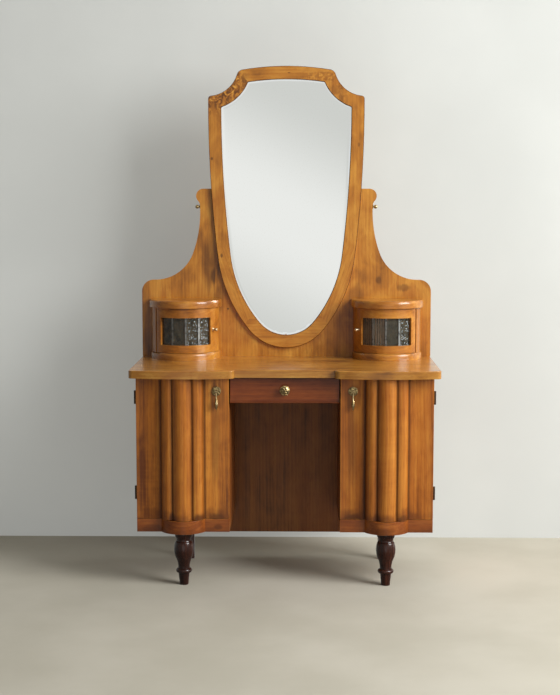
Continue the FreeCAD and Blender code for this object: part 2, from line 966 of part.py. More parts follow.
def make_drop(side, sign):
    """A slender pointed drop that hangs from its eye on the pin of the rosette."""
    body = new_body(f"{side}_drop_pull")
    neck = size("pull_neck_radius")
    belly = size("pull_belly_radius")
    belly_drop = size("pull_belly_drop")
    length = size("pull_length")
    eye_radius = size("pull_eye_radius")
    flank = (neck + belly) / 2
    flank_share = 0.68
    flank_drop = belly_drop * flank_share
    swell_share = 0.7
    swell = flank + (belly - flank) * swell_share
    taper_share = 0.22
    taper = neck + (flank - neck) * taper_share
    tip_share = 0.72
    tip = belly * tip_share
    root_drop = (eye_radius + size("pull_pin_radius")) / 2
    profile = [
        (0, -length),
        Via((tip, -(belly_drop + length) / 2)),
        (belly, -belly_drop),
        Via((swell, -(belly_drop + flank_drop) / 2)),
        (flank, -flank_drop),
        Via((taper, -(flank_drop + eye_radius) / 2)),
        (neck, -eye_radius),
        (neck, -root_drop),
        (0, -root_drop),
    ]
    revolve(body, draw(body, "elevation", profile), "V_Axis")
    eye = draw_circles(body, "side", [(0, 0)], eye_radius)
    pad(body, eye, size("pull_eye_width"), both_ways=True)
    bore_radius = size("pull_pin_radius") + size("fit_clearance")
    bore = draw_circles(body, "side", [(0, 0)], bore_radius, size("pull_eye_width"))
    pocket(body, bore, size("pull_eye_width") * 2)
    place(body, pull_line * sign, pull_axis, pull_level)
    keep(f"{side}_drop_pull", body)


# Drawer

drawer_front = door_front + size("drawer_setback")
drawer_box_front = drawer_front + size("drawer_front_thickness")
drawer_box_back = panel_front - size("drawer_back_gap")
drawer_top = under_top - size("drawer_top_gap")
drawer_low = drawer_top - size("drawer_front_height")
bead_low = drawer_low - size("drawer_bead_height")
runner_under = bead_low + size("runner_rise")
runner_top = runner_under + size("runner_thickness")
box_low = runner_top + size("runner_gap")
box_high = box_low + size("drawer_box_height")
box_half = inner_face - size("drawer_box_gap")
box_inner_half = box_half - size("drawer_side_thickness")
drawer_floor = box_low + size("drawer_groove_height")
drawer_floor_top = drawer_floor + size("drawer_bottom_thickness")


def make_drawer():
    """A drawer with a bottom held in grooves, a bead under its front and a turned knob."""
    front_half = inner_face - size("drawer_front_gap")
    x = (-front_half, front_half)
    board = block("drawer_front", x, (drawer_front, drawer_box_front), (drawer_low, drawer_top))
    keep("drawer_front", board)
    bead_front = drawer_front - size("drawer_bead_projection")
    bead = new_body("drawer_bead")
    bead_middle = (bead_low + drawer_low) / 2
    section = [
        (drawer_front, bead_low),
        Via((bead_front, bead_middle)),
        (drawer_front, drawer_low),
        (drawer_box_front, drawer_low),
        (drawer_box_front, bead_low),
    ]
    pad(bead, draw(bead, "side", section), front_half * 2, both_ways=True)
    keep("drawer_bead", bead)
    sides = []
    depth = (drawer_box_front, drawer_box_back)
    groove = box_inner_half + size("drawer_groove_depth")
    for sign in SIDES.values():
        wall = between(sign, box_inner_half, box_half)
        recess = between(sign, box_inner_half, groove)
        blank = block("drawer_side_blank", wall, depth, (box_low, box_high))
        slot = block("drawer_groove", recess, depth, (drawer_floor, drawer_floor_top))
        sides.append(cut("drawer_side", blank, slot))
    keep("drawer_sides", group("drawer_sides", *sides))
    inside = (-box_inner_half, box_inner_half)
    back_depth = (drawer_box_back - size("drawer_side_thickness"), drawer_box_back)
    keep("drawer_back", block("drawer_back", inside, back_depth, (drawer_floor_top, box_high)))
    keep("drawer_bottom", block("drawer_bottom", (-groove, groove), depth, (drawer_floor, drawer_floor_top)))
    make_drawer_knob()


def make_drawer_knob():
    """A broad round knob with a raised rim, on a short stem."""
    radius = size("drawer_knob_radius")
    stem = size("drawer_knob_stem_radius")
    foot = size("drawer_knob_foot_radius")
    foot_end = size("drawer_knob_foot_thickness")
    reach = size("drawer_knob_reach")
    rim = size("drawer_knob_rim")
    rim_front = reach - size("drawer_knob_dome")
    rim_back = rim_front - rim
    rim_edge = radius - rim / 2
    dome_edge = size("drawer_knob_dome_radius")
    profile = [
        (0, 0),
        (0, foot),
        (foot_end, foot),
        Via(((foot_end + rim_back) / 2, stem)),
        (rim_back, foot),
        (rim_back, rim_edge),
        Via((rim_back + rim / 2, radius)),
        (rim_front, rim_edge),
        (rim_front, dome_edge),
        dome((rim_front, dome_edge), reach),
        (reach, 0),
    ]
    middle = (drawer_low + drawer_top) / 2
    keep("drawer_knob", turned("drawer_knob", profile, 0, drawer_front, middle, -90))


# Mirror outline

mirror_half = size("mirror_half_width")
foot_radius = size("mirror_foot_radius")
flank_radius = size("mirror_flank_radius")
foot_turn = size("mirror_foot_turn")
flank_turn = size("mirror_flank_turn")
foot_centre = (measure(0), mirror_bottom + foot_radius)


def arc_point(centre, radius, turn):
    """The point of an arc where its outline has turned by an angle from level."""
    return (centre[0] + radius * sine(turn), centre[1] - radius * cosine(turn))


def radius_through(start, turn, end):
    """Radius of the arc that leaves a point at an angle from level and passes through another."""
    across = end[0] - start[0]
    rise = end[1] - start[1]
    return (across * across + rise * rise) / (rise * cosine(turn) - across * sine(turn)) / 2


flank_centre = arc_point(foot_centre, foot_radius - flank_radius, foot_turn)
flank_end = arc_point(flank_centre, flank_radius, flank_turn)
notch_centre = (mirror_half, mirror_top + size("mirror_notch_rise"))
notch_foot = (mirror_half, notch_centre[1] - size("mirror_notch_radius"))
side_radius = radius_through(flank_end, flank_turn, notch_foot)
side_centre = arc_point(flank_centre, flank_radius - side_radius, flank_turn)
arch_centre = (measure(0), mirror_top - size("mirror_arch_radius"))


def circle_meeting(centre, radius, other_centre, other_radius, side):
    """Where two circles cross, to the left of the line from one centre to the other, or to its right."""
    x = other_centre[0] - centre[0]
    z = other_centre[1] - centre[1]
    span = root(x * x + z * z)
    reach = (radius * radius - other_radius * other_radius + span * span) / (span * 2)
    offset = root(radius * radius - reach * reach) * side
    return (centre[0] + (x * reach - z * offset) / span, centre[1] + (z * reach + x * offset) / span)


def notch_corner(inset):
    """Where the side of the mirror meets the notch."""
    notch = size("mirror_notch_radius") + inset
    return circle_meeting(side_centre, side_radius - inset, notch_centre, notch, -1)


def arch_corner(inset):
    """Where the notch meets the arch at the top."""
    arch = size("mirror_arch_radius") - inset
    return circle_meeting(arch_centre, arch, notch_centre, size("mirror_notch_radius") + inset, 1)


def mirrored(point):
    return (-point[0], point[1])


def shield(inset):
    """The outline of the mirror at an inset from its outer edge, anticlockwise from the foot."""
    inset = measure(inset)
    side_start = arc_point(flank_centre, flank_radius - inset, flank_turn)
    side_end = notch_corner(inset)
    side_via_level = (side_start[1] + side_end[1]) / 2
    notch = size("mirror_notch_radius") + inset
    notch_via = (notch_centre[0] - notch / math.sqrt(2), notch_centre[1] - notch / math.sqrt(2))
    rising = [
        arc_point(foot_centre, foot_radius - inset, foot_turn),
        Via(arc_point(flank_centre, flank_radius - inset, (foot_turn + flank_turn) / 2)),
        side_start,
        Via((side_edge(inset, side_via_level), side_via_level)),
        side_end,
        Via(notch_via),
        arch_corner(inset),
    ]
    falling = [type(item)(mirrored(item)) for item in reversed(rising)]
    crown = Via((measure(0), mirror_top - inset))
    foot = Via((measure(0), mirror_bottom + inset))
    return rising + [crown] + falling + [foot]


def side_edge(inset, level):
    """Half width of the shield at a level on its long side arc."""
    radius = side_radius - inset
    drop = level - side_centre[1]
    return side_centre[0] + root(radius * radius - drop * drop)


def both_sides(corner):
    """A corner of the shield and its mirror image."""
    return [corner, mirrored(corner)]


# Mirror

mirror_front = wing_front - size("mirror_frame_proud")
mirror_back_line = mirror_front + size("mirror_frame_thickness")
glass_front = mirror_front + size("mirror_lip")
glass_back = glass_front + size("glass_thickness")
backing_back = glass_back + size("backing_thickness")
rebate_inset = size("mirror_frame_width") - size("mirror_rebate")
glass_inset = rebate_inset + size("mirror_edge_clearance")
pivot_line = wing_front + size("pivot_setback")
pivot_edge = side_edge(measure(0), pivot_level)
neck_half = pivot_edge + size("mirror_gap") + size("wing_neck_width")
rail_half = arc_point(foot_centre, foot_radius + size("mirror_gap"), foot_turn)[0] - size("rail_end_inset")


def across(*points):
    """A test for straight edges that run from front to back through some points of the elevation."""
    return along("y", *points)


def make_mirror_frame():
    """The shield frame, rounded at its corners and front edges, rebated behind and bored for the pivots."""
    body = new_body("mirror_frame")
    thickness = size("mirror_frame_thickness")
    width = size("mirror_frame_width")
    pad(body, draw(body, "elevation", shield(0), -mirror_back_line), thickness)
    fillet(body, across(*both_sides(notch_corner(measure(0)))), size("mirror_notch_corner_radius"))
    fillet(body, across(*both_sides(arch_corner(measure(0)))), size("mirror_arch_corner_radius"))
    pocket(body, draw(body, "elevation", shield(width), -mirror_front), thickness)
    fillet(body, across(*both_sides(notch_corner(width))), size("mirror_notch_sight_radius"))
    fillet(body, across(*both_sides(arch_corner(width))), size("mirror_arch_sight_radius"))
    fillet(body, within("y", mirror_front), size("mirror_front_radius"))
    rebate = draw(body, "elevation", shield(rebate_inset), -glass_front)
    pocket(body, rebate, thickness)
    radius = size("pivot_bolt_radius") + size("pivot_clearance")
    for sign in SIDES.values():
        start = pivot_edge + size("mirror_gap")
        bore = draw_circles(body, "side", [(pivot_line, pivot_level)], radius, start * sign)
        pocket(body, bore, size("mirror_gap") + size("pivot_bolt_depth"), along_normal=sign < 0)
    keep("mirror_frame", body)


def make_mirror_glass():
    """Plate glass in the rebate, with a broad bevel all round its front."""
    body = new_body("mirror_glass")
    bevel = size("glass_bevel_depth")
    bevel_back = glass_front + bevel
    pad(body, draw(body, "elevation", shield(glass_inset), -glass_back), size("glass_thickness") - bevel)
    edge = draw(body, "elevation", shield(glass_inset), -bevel_back)
    face = draw(body, "elevation", shield(glass_inset + size("glass_bevel_width")), -glass_front)
    loft(body, edge, face)
    keep("mirror_glass", body)


def make_mirror_backing():
    """A thin board that holds the glass in the rebate."""
    body = new_body("mirror_backing")
    pad(body, draw(body, "elevation", shield(glass_inset), -backing_back), size("backing_thickness"))
    keep("mirror_backing", body)


def make_pivot(side, sign):
    """A thumbscrew with a ball head, through the neck of the wing into the edge of the frame."""
    bolt = size("pivot_bolt_radius")
    washer = size("pivot_washer_radius")
    neck = size("pivot_neck_radius")
    ball = size("pivot_ball_radius")
    seat = neck_half + size("pivot_washer_gap")
    washer_end = seat + size("pivot_washer_thickness")
    ball_middle = neck_half + size("pivot_ball_reach")
    ball_start = ball_middle - root(ball * ball - neck * neck)
    profile = [
        (pivot_edge - size("pivot_bolt_depth") + size("pivot_washer_gap"), 0),
        (pivot_edge - size("pivot_bolt_depth") + size("pivot_washer_gap"), bolt),
        (seat, bolt),
        (seat, washer),
        (washer_end, washer),
        (washer_end, neck),
        (ball_start, neck),
        Via((ball_middle, ball)),
        (ball_middle + ball, 0),
    ]
    outline = [type(item)((item[0] * sign, item[1])) for item in profile]
    body = new_body(f"{side}_pivot_screw")
    revolve(body, draw(body, "plan", outline), "H_Axis")
    place(body, 0, pivot_line, pivot_level)
    keep(f"{side}_pivot_screw", body)


# Wings and back rail


def below_shield(x):
    """Level of the shield's foot arc, with the running gap, at a distance from the middle."""
    radius = foot_radius + size("mirror_gap")
    return foot_centre[1] - root(radius * radius - x * x)


def wing_outline():
    """Outline of the right wing: shoulder, hollow sweep, neck, round head and the edge by the mirror."""
    gap = -size("mirror_gap")
    neck = neck_half
    sweep = size("wing_sweep_radius")
    hollow = size("wing_hollow_radius")
    shoulder = size("wing_shoulder_radius")
    head = size("wing_head_radius")
    blend = size("wing_blend_radius")
    turn = size("wing_sweep_turn")
    sweep_centre = (neck + sweep, wing_neck_level)
    hollow_centre = (
        sweep_centre[0] - (sweep - hollow) * cosine(turn),
        sweep_centre[1] - (sweep - hollow) * sine(turn),
    )
    level = (hollow_centre[0] - half_length + shoulder) / (hollow + shoulder)
    upright = root(1 - level * level)
    shoulder_centre = (half_length - shoulder, hollow_centre[1] - (hollow + shoulder) * upright)
    hollow_end = (hollow_centre[0] - hollow * level, hollow_centre[1] - hollow * upright)
    middle = (turn + 90) / 2
    half_angle = root((1 + level) / 2)
    half_rise = root((1 - level) / 2)
    head_centre = (neck - size("wing_head_inset"), wing_neck_level + size("wing_head_rise"))
    blend_reach = neck + blend - head_centre[0]
    blend_level_share = blend_reach / (head + blend)
    blend_across = root((1 + blend_level_share) / 2)
    blend_rise = root((1 - blend_level_share) / 2)
    blend_drop = root((head + blend) * (head + blend) - blend_reach * blend_reach)
    blend_level = head_centre[1] - blend_drop
    share = head / (head + blend)
    meeting = (head_centre[0] + blend_reach * share, head_centre[1] - blend_drop * share)
    head_top = head_centre[1] + head
    split = rail_half
    foot_end = arc_point(foot_centre, foot_radius - gap, foot_turn)
    foot_via_x = (split + foot_end[0]) / 2
    top_edge = side_edge(gap, head_top)
    side_via_level = (head_top + arc_point(flank_centre, flank_radius, flank_turn)[1]) / 2
    return [
        (split, top_level),
        (half_length, top_level),
        (half_length, shoulder_centre[1]),
        Via((shoulder_centre[0] + shoulder * half_rise, shoulder_centre[1] + shoulder * half_angle)),
        hollow_end,
        Via((hollow_centre[0] - hollow * cosine(middle), hollow_centre[1] - hollow * sine(middle))),
        (sweep_centre[0] - sweep * cosine(turn), sweep_centre[1] - sweep * sine(turn)),
        Via((sweep_centre[0] - sweep * cosine(turn / 2), sweep_centre[1] - sweep * sine(turn / 2))),
        (neck, sweep_centre[1]),
        (neck, blend_level),
        Via((neck + blend - blend * blend_across, blend_level + blend * blend_rise)),
        meeting,
        Via((head_centre[0] + head / math.sqrt(2), head_centre[1] + head / math.sqrt(2))),
        (head_centre[0], head_top),
        (top_edge, head_top),
        Via((side_edge(gap, side_via_level), side_via_level)),
        arc_point(flank_centre, flank_radius - gap, flank_turn),
        Via(arc_point(flank_centre, flank_radius - gap, (foot_turn + flank_turn) / 2)),
        foot_end,
        Via((foot_via_x, below_shield(foot_via_x))),
        (split, below_shield(split)),
    ]


def dowel_holes(body, lines):
    """Holes for the dowels, up from the foot of a board."""
    radius = size("dowel_radius") + size("fit_clearance")
    places = [(line, wing_middle) for line in lines]
    holes = draw_circles(body, "plan", places, radius, top_level)
    pocket(body, holes, size("dowel_depth"), along_normal=True)


def make_wing(side, sign):
    """A wing board that stands on the top beside the mirror and carries its pivot."""
    body = new_body(f"{side}_wing")
    outline = [type(item)((item[0] * sign, item[1])) for item in wing_outline()]
    pad(body, draw(body, "elevation", outline, -back_line), size("wing_thickness"))
    dowel_holes(body, [size("dowel_wing_inner") * sign, dowel_wing_outer * sign])
    radius = size("pivot_bolt_radius") + size("pivot_clearance")
    neck = neck_half
    reach = neck + size("wing_head_radius")
    bore = draw_circles(body, "side", [(pivot_line, pivot_level)], radius, reach * sign)
    pocket(body, bore, reach - pivot_edge, along_normal=sign < 0)
    seat_radius = size("pivot_washer_radius") + size("pivot_washer_gap")
    seat = draw_circles(body, "side", [(pivot_line, pivot_level)], seat_radius, reach * sign)
    pocket(body, seat, reach - neck, along_normal=sign < 0)
    keep(f"{side}_wing", body)


def make_back_rail():
    """The low rail under the mirror, hollowed to clear its foot."""
    body = new_body("back_rail")
    split = rail_half
    outline = [
        (-split, top_level),
        (split, top_level),
        (split, below_shield(split)),
        Via((measure(0), below_shield(measure(0)))),
        (-split, below_shield(split)),
    ]
    pad(body, draw(body, "elevation", outline, -back_line), size("wing_thickness"))
    dowel_holes(body, [-size("dowel_rail"), size("dowel_rail")])
    keep("back_rail", body)


# Glazed cabinets

cabinet_middle = half_length - size("cabinet_end_inset")
cabinet_radius = size("cabinet_radius")
cabinet_inner_radius = cabinet_radius - size("cabinet_wall")
cabinet_mid_radius = cabinet_radius - size("cabinet_wall") / 2
cabinet_line = wing_front - size("cabinet_straight")
cabinet_base_top = top_level + size("cabinet_base_height")
cabinet_door_low = cabinet_base_top + size("cabinet_door_gap")
cabinet_door_high = cabinet_door_low + size("cabinet_door_height") - size("cabinet_door_gap") * 2
cornice_under = cabinet_base_top + size("cabinet_door_height")
window_low = cabinet_door_low + size("cabinet_bottom_rail")
window_high = cabinet_door_high - size("cabinet_top_rail")
window_turn = size("cabinet_window_turn")
rebate_low = window_low - size("cabinet_rebate_height")
rebate_high = window_high + size("cabinet_rebate_height")
axis_angle = -size("cabinet_axis_angle")


def round_point(sign, radius, angle):
    """A point of a cabinet's plan at an angle from straight ahead, positive towards the mirror."""
    angle = measure(angle)
    return ((cabinet_middle - radius * sine(angle)) * sign, cabinet_line - radius * cosine(angle))


def sector(sign, outer, inner, first, last):
    """A ring segment of a cabinet's plan between two angles."""
    first = measure(first)
    last = measure(last)
    middle = (first + last) / 2
    return [
        round_point(sign, outer, first),
        Via(round_point(sign, outer, middle)),
        round_point(sign, outer, last),
        round_point(sign, inner, last),
        Via(round_point(sign, inner, middle)),
        round_point(sign, inner, first),
    ]


def half_round(sign, overhang):
    """The plan of a cabinet's base or cornice: a half circle with short straight sides."""
    radius = cabinet_radius + overhang
    return [
        ((cabinet_middle + radius) * sign, wing_front),
        round_point(sign, radius, -90),
        Via(round_point(sign, radius, 0)),
        round_point(sign, radius, 90),
        ((cabinet_middle - radius) * sign, wing_front),
    ]


def pin_hole(body, sign, level, depth, upwards):
    """A hole for a hinge pin of the cabinet door, from a level up or down."""
    radius = size("cabinet_pin_radius") + size("cabinet_pin_clearance")
    centre = round_point(sign, cabinet_mid_radius, axis_angle)
    pocket(body, draw_circles(body, "plan", [centre], radius, level), depth, along_normal=upwards)


def make_cabinet_case(side, sign):
    """The base, cornice, posts and hinge pins of one cabinet."""
    depth = size("cabinet_pin_depth")
    base = new_body(f"{side}_cabinet_base")
    outline = half_round(sign, size("cabinet_base_overhang"))
    pad(base, draw(base, "plan", outline, top_level), size("cabinet_base_height"))
    pin_hole(base, sign, cabinet_base_top, depth, upwards=False)
    base_edge = round_point(sign, cabinet_radius + size("cabinet_base_overhang"), 0)
    base_rounding = lesser(size("cabinet_under_edge_radius"), size("cabinet_base_overhang") * ROUNDING_SHARE)
    fillet(base, curved_at("z", cabinet_base_top, base_edge), base_rounding)
    keep(f"{side}_cabinet_base", base)
    cornice = new_body(f"{side}_cabinet_cornice")
    outline = half_round(sign, size("cabinet_cornice_overhang"))
    pad(cornice, draw(cornice, "plan", outline, cornice_under), size("cabinet_cornice_height"))
    top = cornice_under + size("cabinet_cornice_height")
    front_edge = round_point(sign, cabinet_radius + size("cabinet_cornice_overhang"), 0)
    pin_hole(cornice, sign, cornice_under, depth, upwards=True)
    fillet(cornice, curved_at("z", top, front_edge), size("cabinet_edge_radius"))
    fillet(cornice, curved_at("z", cornice_under, front_edge), size("cabinet_under_edge_radius"))
    keep(f"{side}_cabinet_cornice", cornice)
    make_cabinet_posts(side, sign)
    centre = round_point(sign, cabinet_mid_radius, axis_angle)
    ends = [(level - depth, level + depth) for level in (cabinet_base_top, cornice_under)]
    pins = [rod("cabinet_pin", size("cabinet_pin_radius"), *centre, z) for z in ends]
    keep(f"{side}_cabinet_pins", group(f"{side}_cabinet_pins", *pins))


def curved_at(direction, level, point):
    """A test for the curved edge at one level that passes through a point of the plan."""
    flat_test = within(direction, level)
    spot = Vector(measure(point[0]).number, measure(point[1]).number, measure(level).number)

    def test(edge):
        return flat_test(edge) and edge.distToShape(Part.Vertex(spot))[0] < 0.01

    return test


def make_cabinet_posts(side, sign):
    """An outer post that the door turns beside, and a narrow inner post that it closes on."""
    post_turn = (size("cabinet_wall") / 2 + size("cabinet_post_gap")) / cabinet_mid_radius
    kept = root(1 - post_turn * post_turn)
    along_x = cosine(axis_angle) * post_turn - sine(axis_angle) * kept
    along_y = -sine(axis_angle) * post_turn - cosine(axis_angle) * kept
    spread = root((along_x + 1) * 2)
    centre = cabinet_middle

    def on_post(radius):
        end = ((centre + radius * along_x) * sign, cabinet_line + radius * along_y)
        via_x = radius * (along_x + 1) / spread
        via = ((centre + via_x) * sign, cabinet_line + radius * along_y / spread)
        return end, Via(via)

    outer_end, outer_via = on_post(cabinet_radius)
    inner_end, inner_via = on_post(cabinet_inner_radius)
    height = size("cabinet_door_height")
    outer = new_body(f"{side}_outer_post")
    outline = [
        outer_end,
        outer_via,
        round_point(sign, cabinet_radius, -90),
        ((centre + cabinet_radius) * sign, wing_front),
        ((centre + cabinet_inner_radius) * sign, wing_front),
        round_point(sign, cabinet_inner_radius, -90),
        inner_via,
        inner_end,
    ]
    pad(outer, draw(outer, "plan", outline, cabinet_base_top), height)
    first = size("cabinet_meeting_angle") + size("cabinet_meeting_gap")
    inner = new_body(f"{side}_inner_post")
    outline = [
        round_point(sign, cabinet_radius, first),
        Via(round_point(sign, cabinet_radius, (first + 90) / 2)),
        round_point(sign, cabinet_radius, 90),
        ((centre - cabinet_radius) * sign, wing_front),
        ((centre - cabinet_inner_radius) * sign, wing_front),
        round_point(sign, cabinet_inner_radius, 90),
        Via(round_point(sign, cabinet_inner_radius, (first + 90) / 2)),
        round_point(sign, cabinet_inner_radius, first),
    ]
    pad(inner, draw(inner, "plan", outline, cabinet_base_top), height)
    keep(f"{side}_cabinet_posts", group(f"{side}_cabinet_posts", outer, inner))


def make_cabinet_door(side, sign):
    """A curved door frame with a round hinge stile, a window and a rebate for the panes behind it."""
    body = new_body(f"{side}_cabinet_door")
    meeting = size("cabinet_meeting_angle")
    half_wall = size("cabinet_wall") / 2
    axis = round_point(sign, cabinet_mid_radius, axis_angle)
    nose = (axis[0] + half_wall * cosine(axis_angle) * sign, axis[1] - half_wall * sine(axis_angle))
    outline = sector(sign, cabinet_radius, cabinet_inner_radius, axis_angle, meeting) + [Via(nose)]
    height = cabinet_door_high - cabinet_door_low
    pad(body, draw(body, "plan", outline, cabinet_door_low), height)
    wall = size("cabinet_wall")
    inside = cabinet_inner_radius - wall
    angle = size("cabinet_window_angle")
    window = sector(sign, cabinet_radius + wall, inside, window_turn - angle, window_turn + angle)
    pocket(body, draw(body, "plan", window, window_low), window_high - window_low, along_normal=True)
    angle = size("cabinet_rebate_angle")
    rebate_radius = cabinet_inner_radius + size("cabinet_rebate_depth")
    rebate = sector(sign, rebate_radius, inside, window_turn - angle, window_turn + angle)
    pocket(body, draw(body, "plan", rebate, rebate_low), rebate_high - rebate_low, along_normal=True)
    reach = size("cabinet_pin_depth")
    pin_hole(body, sign, cabinet_door_low, reach, upwards=True)
    pin_hole(body, sign, cabinet_door_high, reach, upwards=False)
    keep(f"{side}_cabinet_door", body)
    make_cabinet_glazing(side, sign)


def make_cabinet_glazing(side, sign):
    """Four flat panes in the rebate, with a lead came at each of the three meetings."""
    pane_radius = cabinet_inner_radius + size("cabinet_rebate_depth") - size("pane_inset")
    angle = size("pane_angle")
    half_chord = pane_radius * sine(angle / 2)
    face = pane_radius * cosine(angle / 2)
    back = face - size("pane_thickness")
    slope = sine(angle / 2) / cosine(angle / 2)
    mitre = (size("came_web") / 2 + size("came_gap")) / cosine(angle / 2) + size("pane_thickness") * slope
    half_width = half_chord - mitre
    panes = []
    for step in (-1.5, -0.5, 0.5, 1.5):
        body = new_body(f"{side}_pane")
        corners = [(-half_width, face), (half_width, face), (half_width, back), (-half_width, back)]
        ray = angle * step + window_turn
        outline = [turned_point(sign, ray, across_it, radius) for across_it, radius in corners]
        pad(body, draw(body, "plan", outline, rebate_low), rebate_high - rebate_low)
        panes.append(body)
    keep(f"{side}_cabinet_panes", group(f"{side}_cabinet_panes", *panes))
    web = size("came_web") / 2
    flange = size("came_flange") / 2
    thickness = size("came_flange_thickness")
    front_low = pane_radius + size("came_gap")
    back_high = pane_radius - size("pane_thickness") / cosine(angle / 2) - flange * slope - size("came_gap")
    cames = []
    for step in (-1, 0, 1):
        body = new_body(f"{side}_came")
        corners = [
            (-flange, front_low + thickness),
            (-flange, front_low),
            (-web, front_low),
            (-web, back_high),
            (-flange, back_high),
            (-flange, back_high - thickness),
        ]
        corners += [(-across_it, radius) for across_it, radius in reversed(corners)]
        ray = angle * step + window_turn
        outline = [turned_point(sign, ray, across_it, radius) for across_it, radius in corners]
        pad(body, draw(body, "plan", outline, window_low), window_high - window_low)
        cames.append(body)
    keep(f"{side}_cabinet_cames", group(f"{side}_cabinet_cames", *cames))


def turned_point(sign, angle, sideways, radius):
    """A point of the plan given beside and out along a ray from the cabinet's middle."""
    x = cabinet_middle - radius * sine(angle) - sideways * cosine(angle)
    y = cabinet_line - radius * cosine(angle) + sideways * sine(angle)
    return (x * sign, y)


def make_cabinet_knob(side, sign):
    """A small ball knob on a stem, square to the curve of the door."""
    ball = size("cabinet_knob_radius")
    stem = size("cabinet_knob_stem_radius")
    foot = size("cabinet_knob_foot_radius")
    reach = size("cabinet_knob_reach")
    middle = reach - ball
    ball_start = middle - root(ball * ball - stem * stem)
    foot_end = size("cabinet_knob_foot_thickness")
    profile = [
        (0, 0),
        (0, foot),
        (foot_end, foot),
        (foot_end + size("cabinet_knob_foot_taper"), stem),
        (ball_start, stem),
        Via((middle, ball)),
        (reach, 0),
    ]
    angle = size("cabinet_knob_angle")
    seat = round_point(sign, cabinet_radius, angle)
    turn = measure(-90) - angle * sign
    knob = turned(f"{side}_cabinet_knob", profile, *seat, cabinet_base_top + size("cabinet_knob_rise"), turn)
    keep(f"{side}_cabinet_knob", knob)


def check_document():
    """Stop unless every object recomputed and every sub-part is a valid shape."""
    for obj in doc.Objects:
        if "Invalid" in obj.State or "Error" in obj.State:
            raise RuntimeError(f"{obj.Name} ({obj.Label}) failed: {obj.State}")
    for label, obj in pieces.items():
        if obj.Shape.isNull() or not obj.Shape.isValid() or not obj.Shape.Solids:
            raise RuntimeError(f"{label} is not a valid solid")


def write_parts():
    os.makedirs("parts", exist_ok=True)
    for label, obj in pieces.items():
        obj.Shape.exportStep(os.path.join("parts", f"{label}.step"))


make_table_top()
make_dowels()
make_shelves()
make_rear_legs()
make_kneehole()
make_drawer()
make_back_rail()
make_mirror_frame()
make_mirror_glass()
make_mirror_backing()
for side, sign in SIDES.items():
    make_pedestal(side, sign)
    make_plinth(side, sign)
    make_front_leg(side, sign)
    make_hinges(side, sign)
    make_door(side, sign)
    make_reeds(side, sign)
    make_rosette(side, sign)
    make_drop(side, sign)
    make_wing(side, sign)
    make_pivot(side, sign)
    make_cabinet_case(side, sign)
    make_cabinet_door(side, sign)
    make_cabinet_knob(side, sign)
doc.recompute()
check_document()
write_parts()
print(len(pieces), "sub-parts written")
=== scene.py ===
"""Looks of the dressing table: boards, turned legs, reeded doors, glazed cabinets, brass and shield mirror.

The construction is loaded as a fixed frame. Each class below dresses one sub-assembly of it: it copies or
builds the meshes, eases their edges, adds the small work that catches the light, and gives every piece its
finish. All sizes are in metres, in the frame of the construction.
"""

import json
import logging
import math
from dataclasses import dataclass, replace
from enum import Enum
from typing import Mapping, Optional, Sequence, Union

import bmesh
import bpy
from mathutils import Matrix, Vector, noise
from mathutils.bvhtree import BVHTree

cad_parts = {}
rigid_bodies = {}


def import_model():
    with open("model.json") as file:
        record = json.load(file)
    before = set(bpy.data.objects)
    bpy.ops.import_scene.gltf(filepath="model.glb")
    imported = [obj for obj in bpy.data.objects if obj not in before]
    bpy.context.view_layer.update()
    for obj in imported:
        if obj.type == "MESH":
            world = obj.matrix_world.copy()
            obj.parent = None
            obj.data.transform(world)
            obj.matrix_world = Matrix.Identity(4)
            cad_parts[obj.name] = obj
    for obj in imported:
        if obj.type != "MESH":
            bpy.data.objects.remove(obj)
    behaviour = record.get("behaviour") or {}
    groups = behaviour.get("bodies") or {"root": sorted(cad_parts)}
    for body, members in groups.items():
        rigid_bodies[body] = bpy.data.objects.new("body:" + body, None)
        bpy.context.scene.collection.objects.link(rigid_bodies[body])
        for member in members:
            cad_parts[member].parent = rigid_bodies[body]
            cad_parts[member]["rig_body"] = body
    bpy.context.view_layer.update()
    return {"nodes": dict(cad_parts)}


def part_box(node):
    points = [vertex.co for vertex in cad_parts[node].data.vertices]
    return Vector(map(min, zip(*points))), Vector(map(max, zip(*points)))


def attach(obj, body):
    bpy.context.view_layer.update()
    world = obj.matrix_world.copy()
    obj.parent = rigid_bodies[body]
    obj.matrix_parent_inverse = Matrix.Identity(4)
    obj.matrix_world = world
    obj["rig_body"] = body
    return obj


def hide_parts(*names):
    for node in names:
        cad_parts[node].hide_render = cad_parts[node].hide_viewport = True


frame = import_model()

LOG = logging.getLogger("dressing_table")
# Face layer of worn edges, which on the top's edge and the mirror frame holds painted shade.
WEAR_AND_SHADE_LAYER = "worn"
CREST_LAYER = "crest"
# Copies of the construction: the gap across which loose corners join, the play in measuring a rounding, and
# the angles up to which faces become one, from which an edge is eased, and from which it shows as sharp.
MERGE_GAP = 1e-6
ROUND_SLACK = 1e-5
FLAT_ANGLE = math.radians(0.4)
ARRIS_ANGLE = math.radians(40)
SMOOTH_ANGLE = math.radians(38)
# The standard curve of a screen: end and slope of its straight toe, then the lift and power above that.
SCREEN_STEPS = 255
TOE_END = 0.04045
TOE_SLOPE = 12.92
CURVE_LIFT = 0.055
CURVE_POWER = 2.4
# What a noise gives on average, the width of a ring of a Wave node of scale 1, and a quarter turn.
NOISE_MIDDLE = 0.5
WAVE_RING = math.pi / 10
QUARTER = math.pi / 2

Colour = tuple[float, float, float]
Point = tuple[float, float, float]
Span = tuple[float, float]


def linear(step: int) -> float:
    """Turns a screen step into the linear share that a shader takes.

    Args:
        step: The step, 0 to 255.

    Returns:
        The share, 0 to 1.
    """
    share = step / SCREEN_STEPS
    curve = ((share + CURVE_LIFT) / (1 + CURVE_LIFT)) ** CURVE_POWER
    return share / TOE_SLOPE if share <= TOE_END else curve


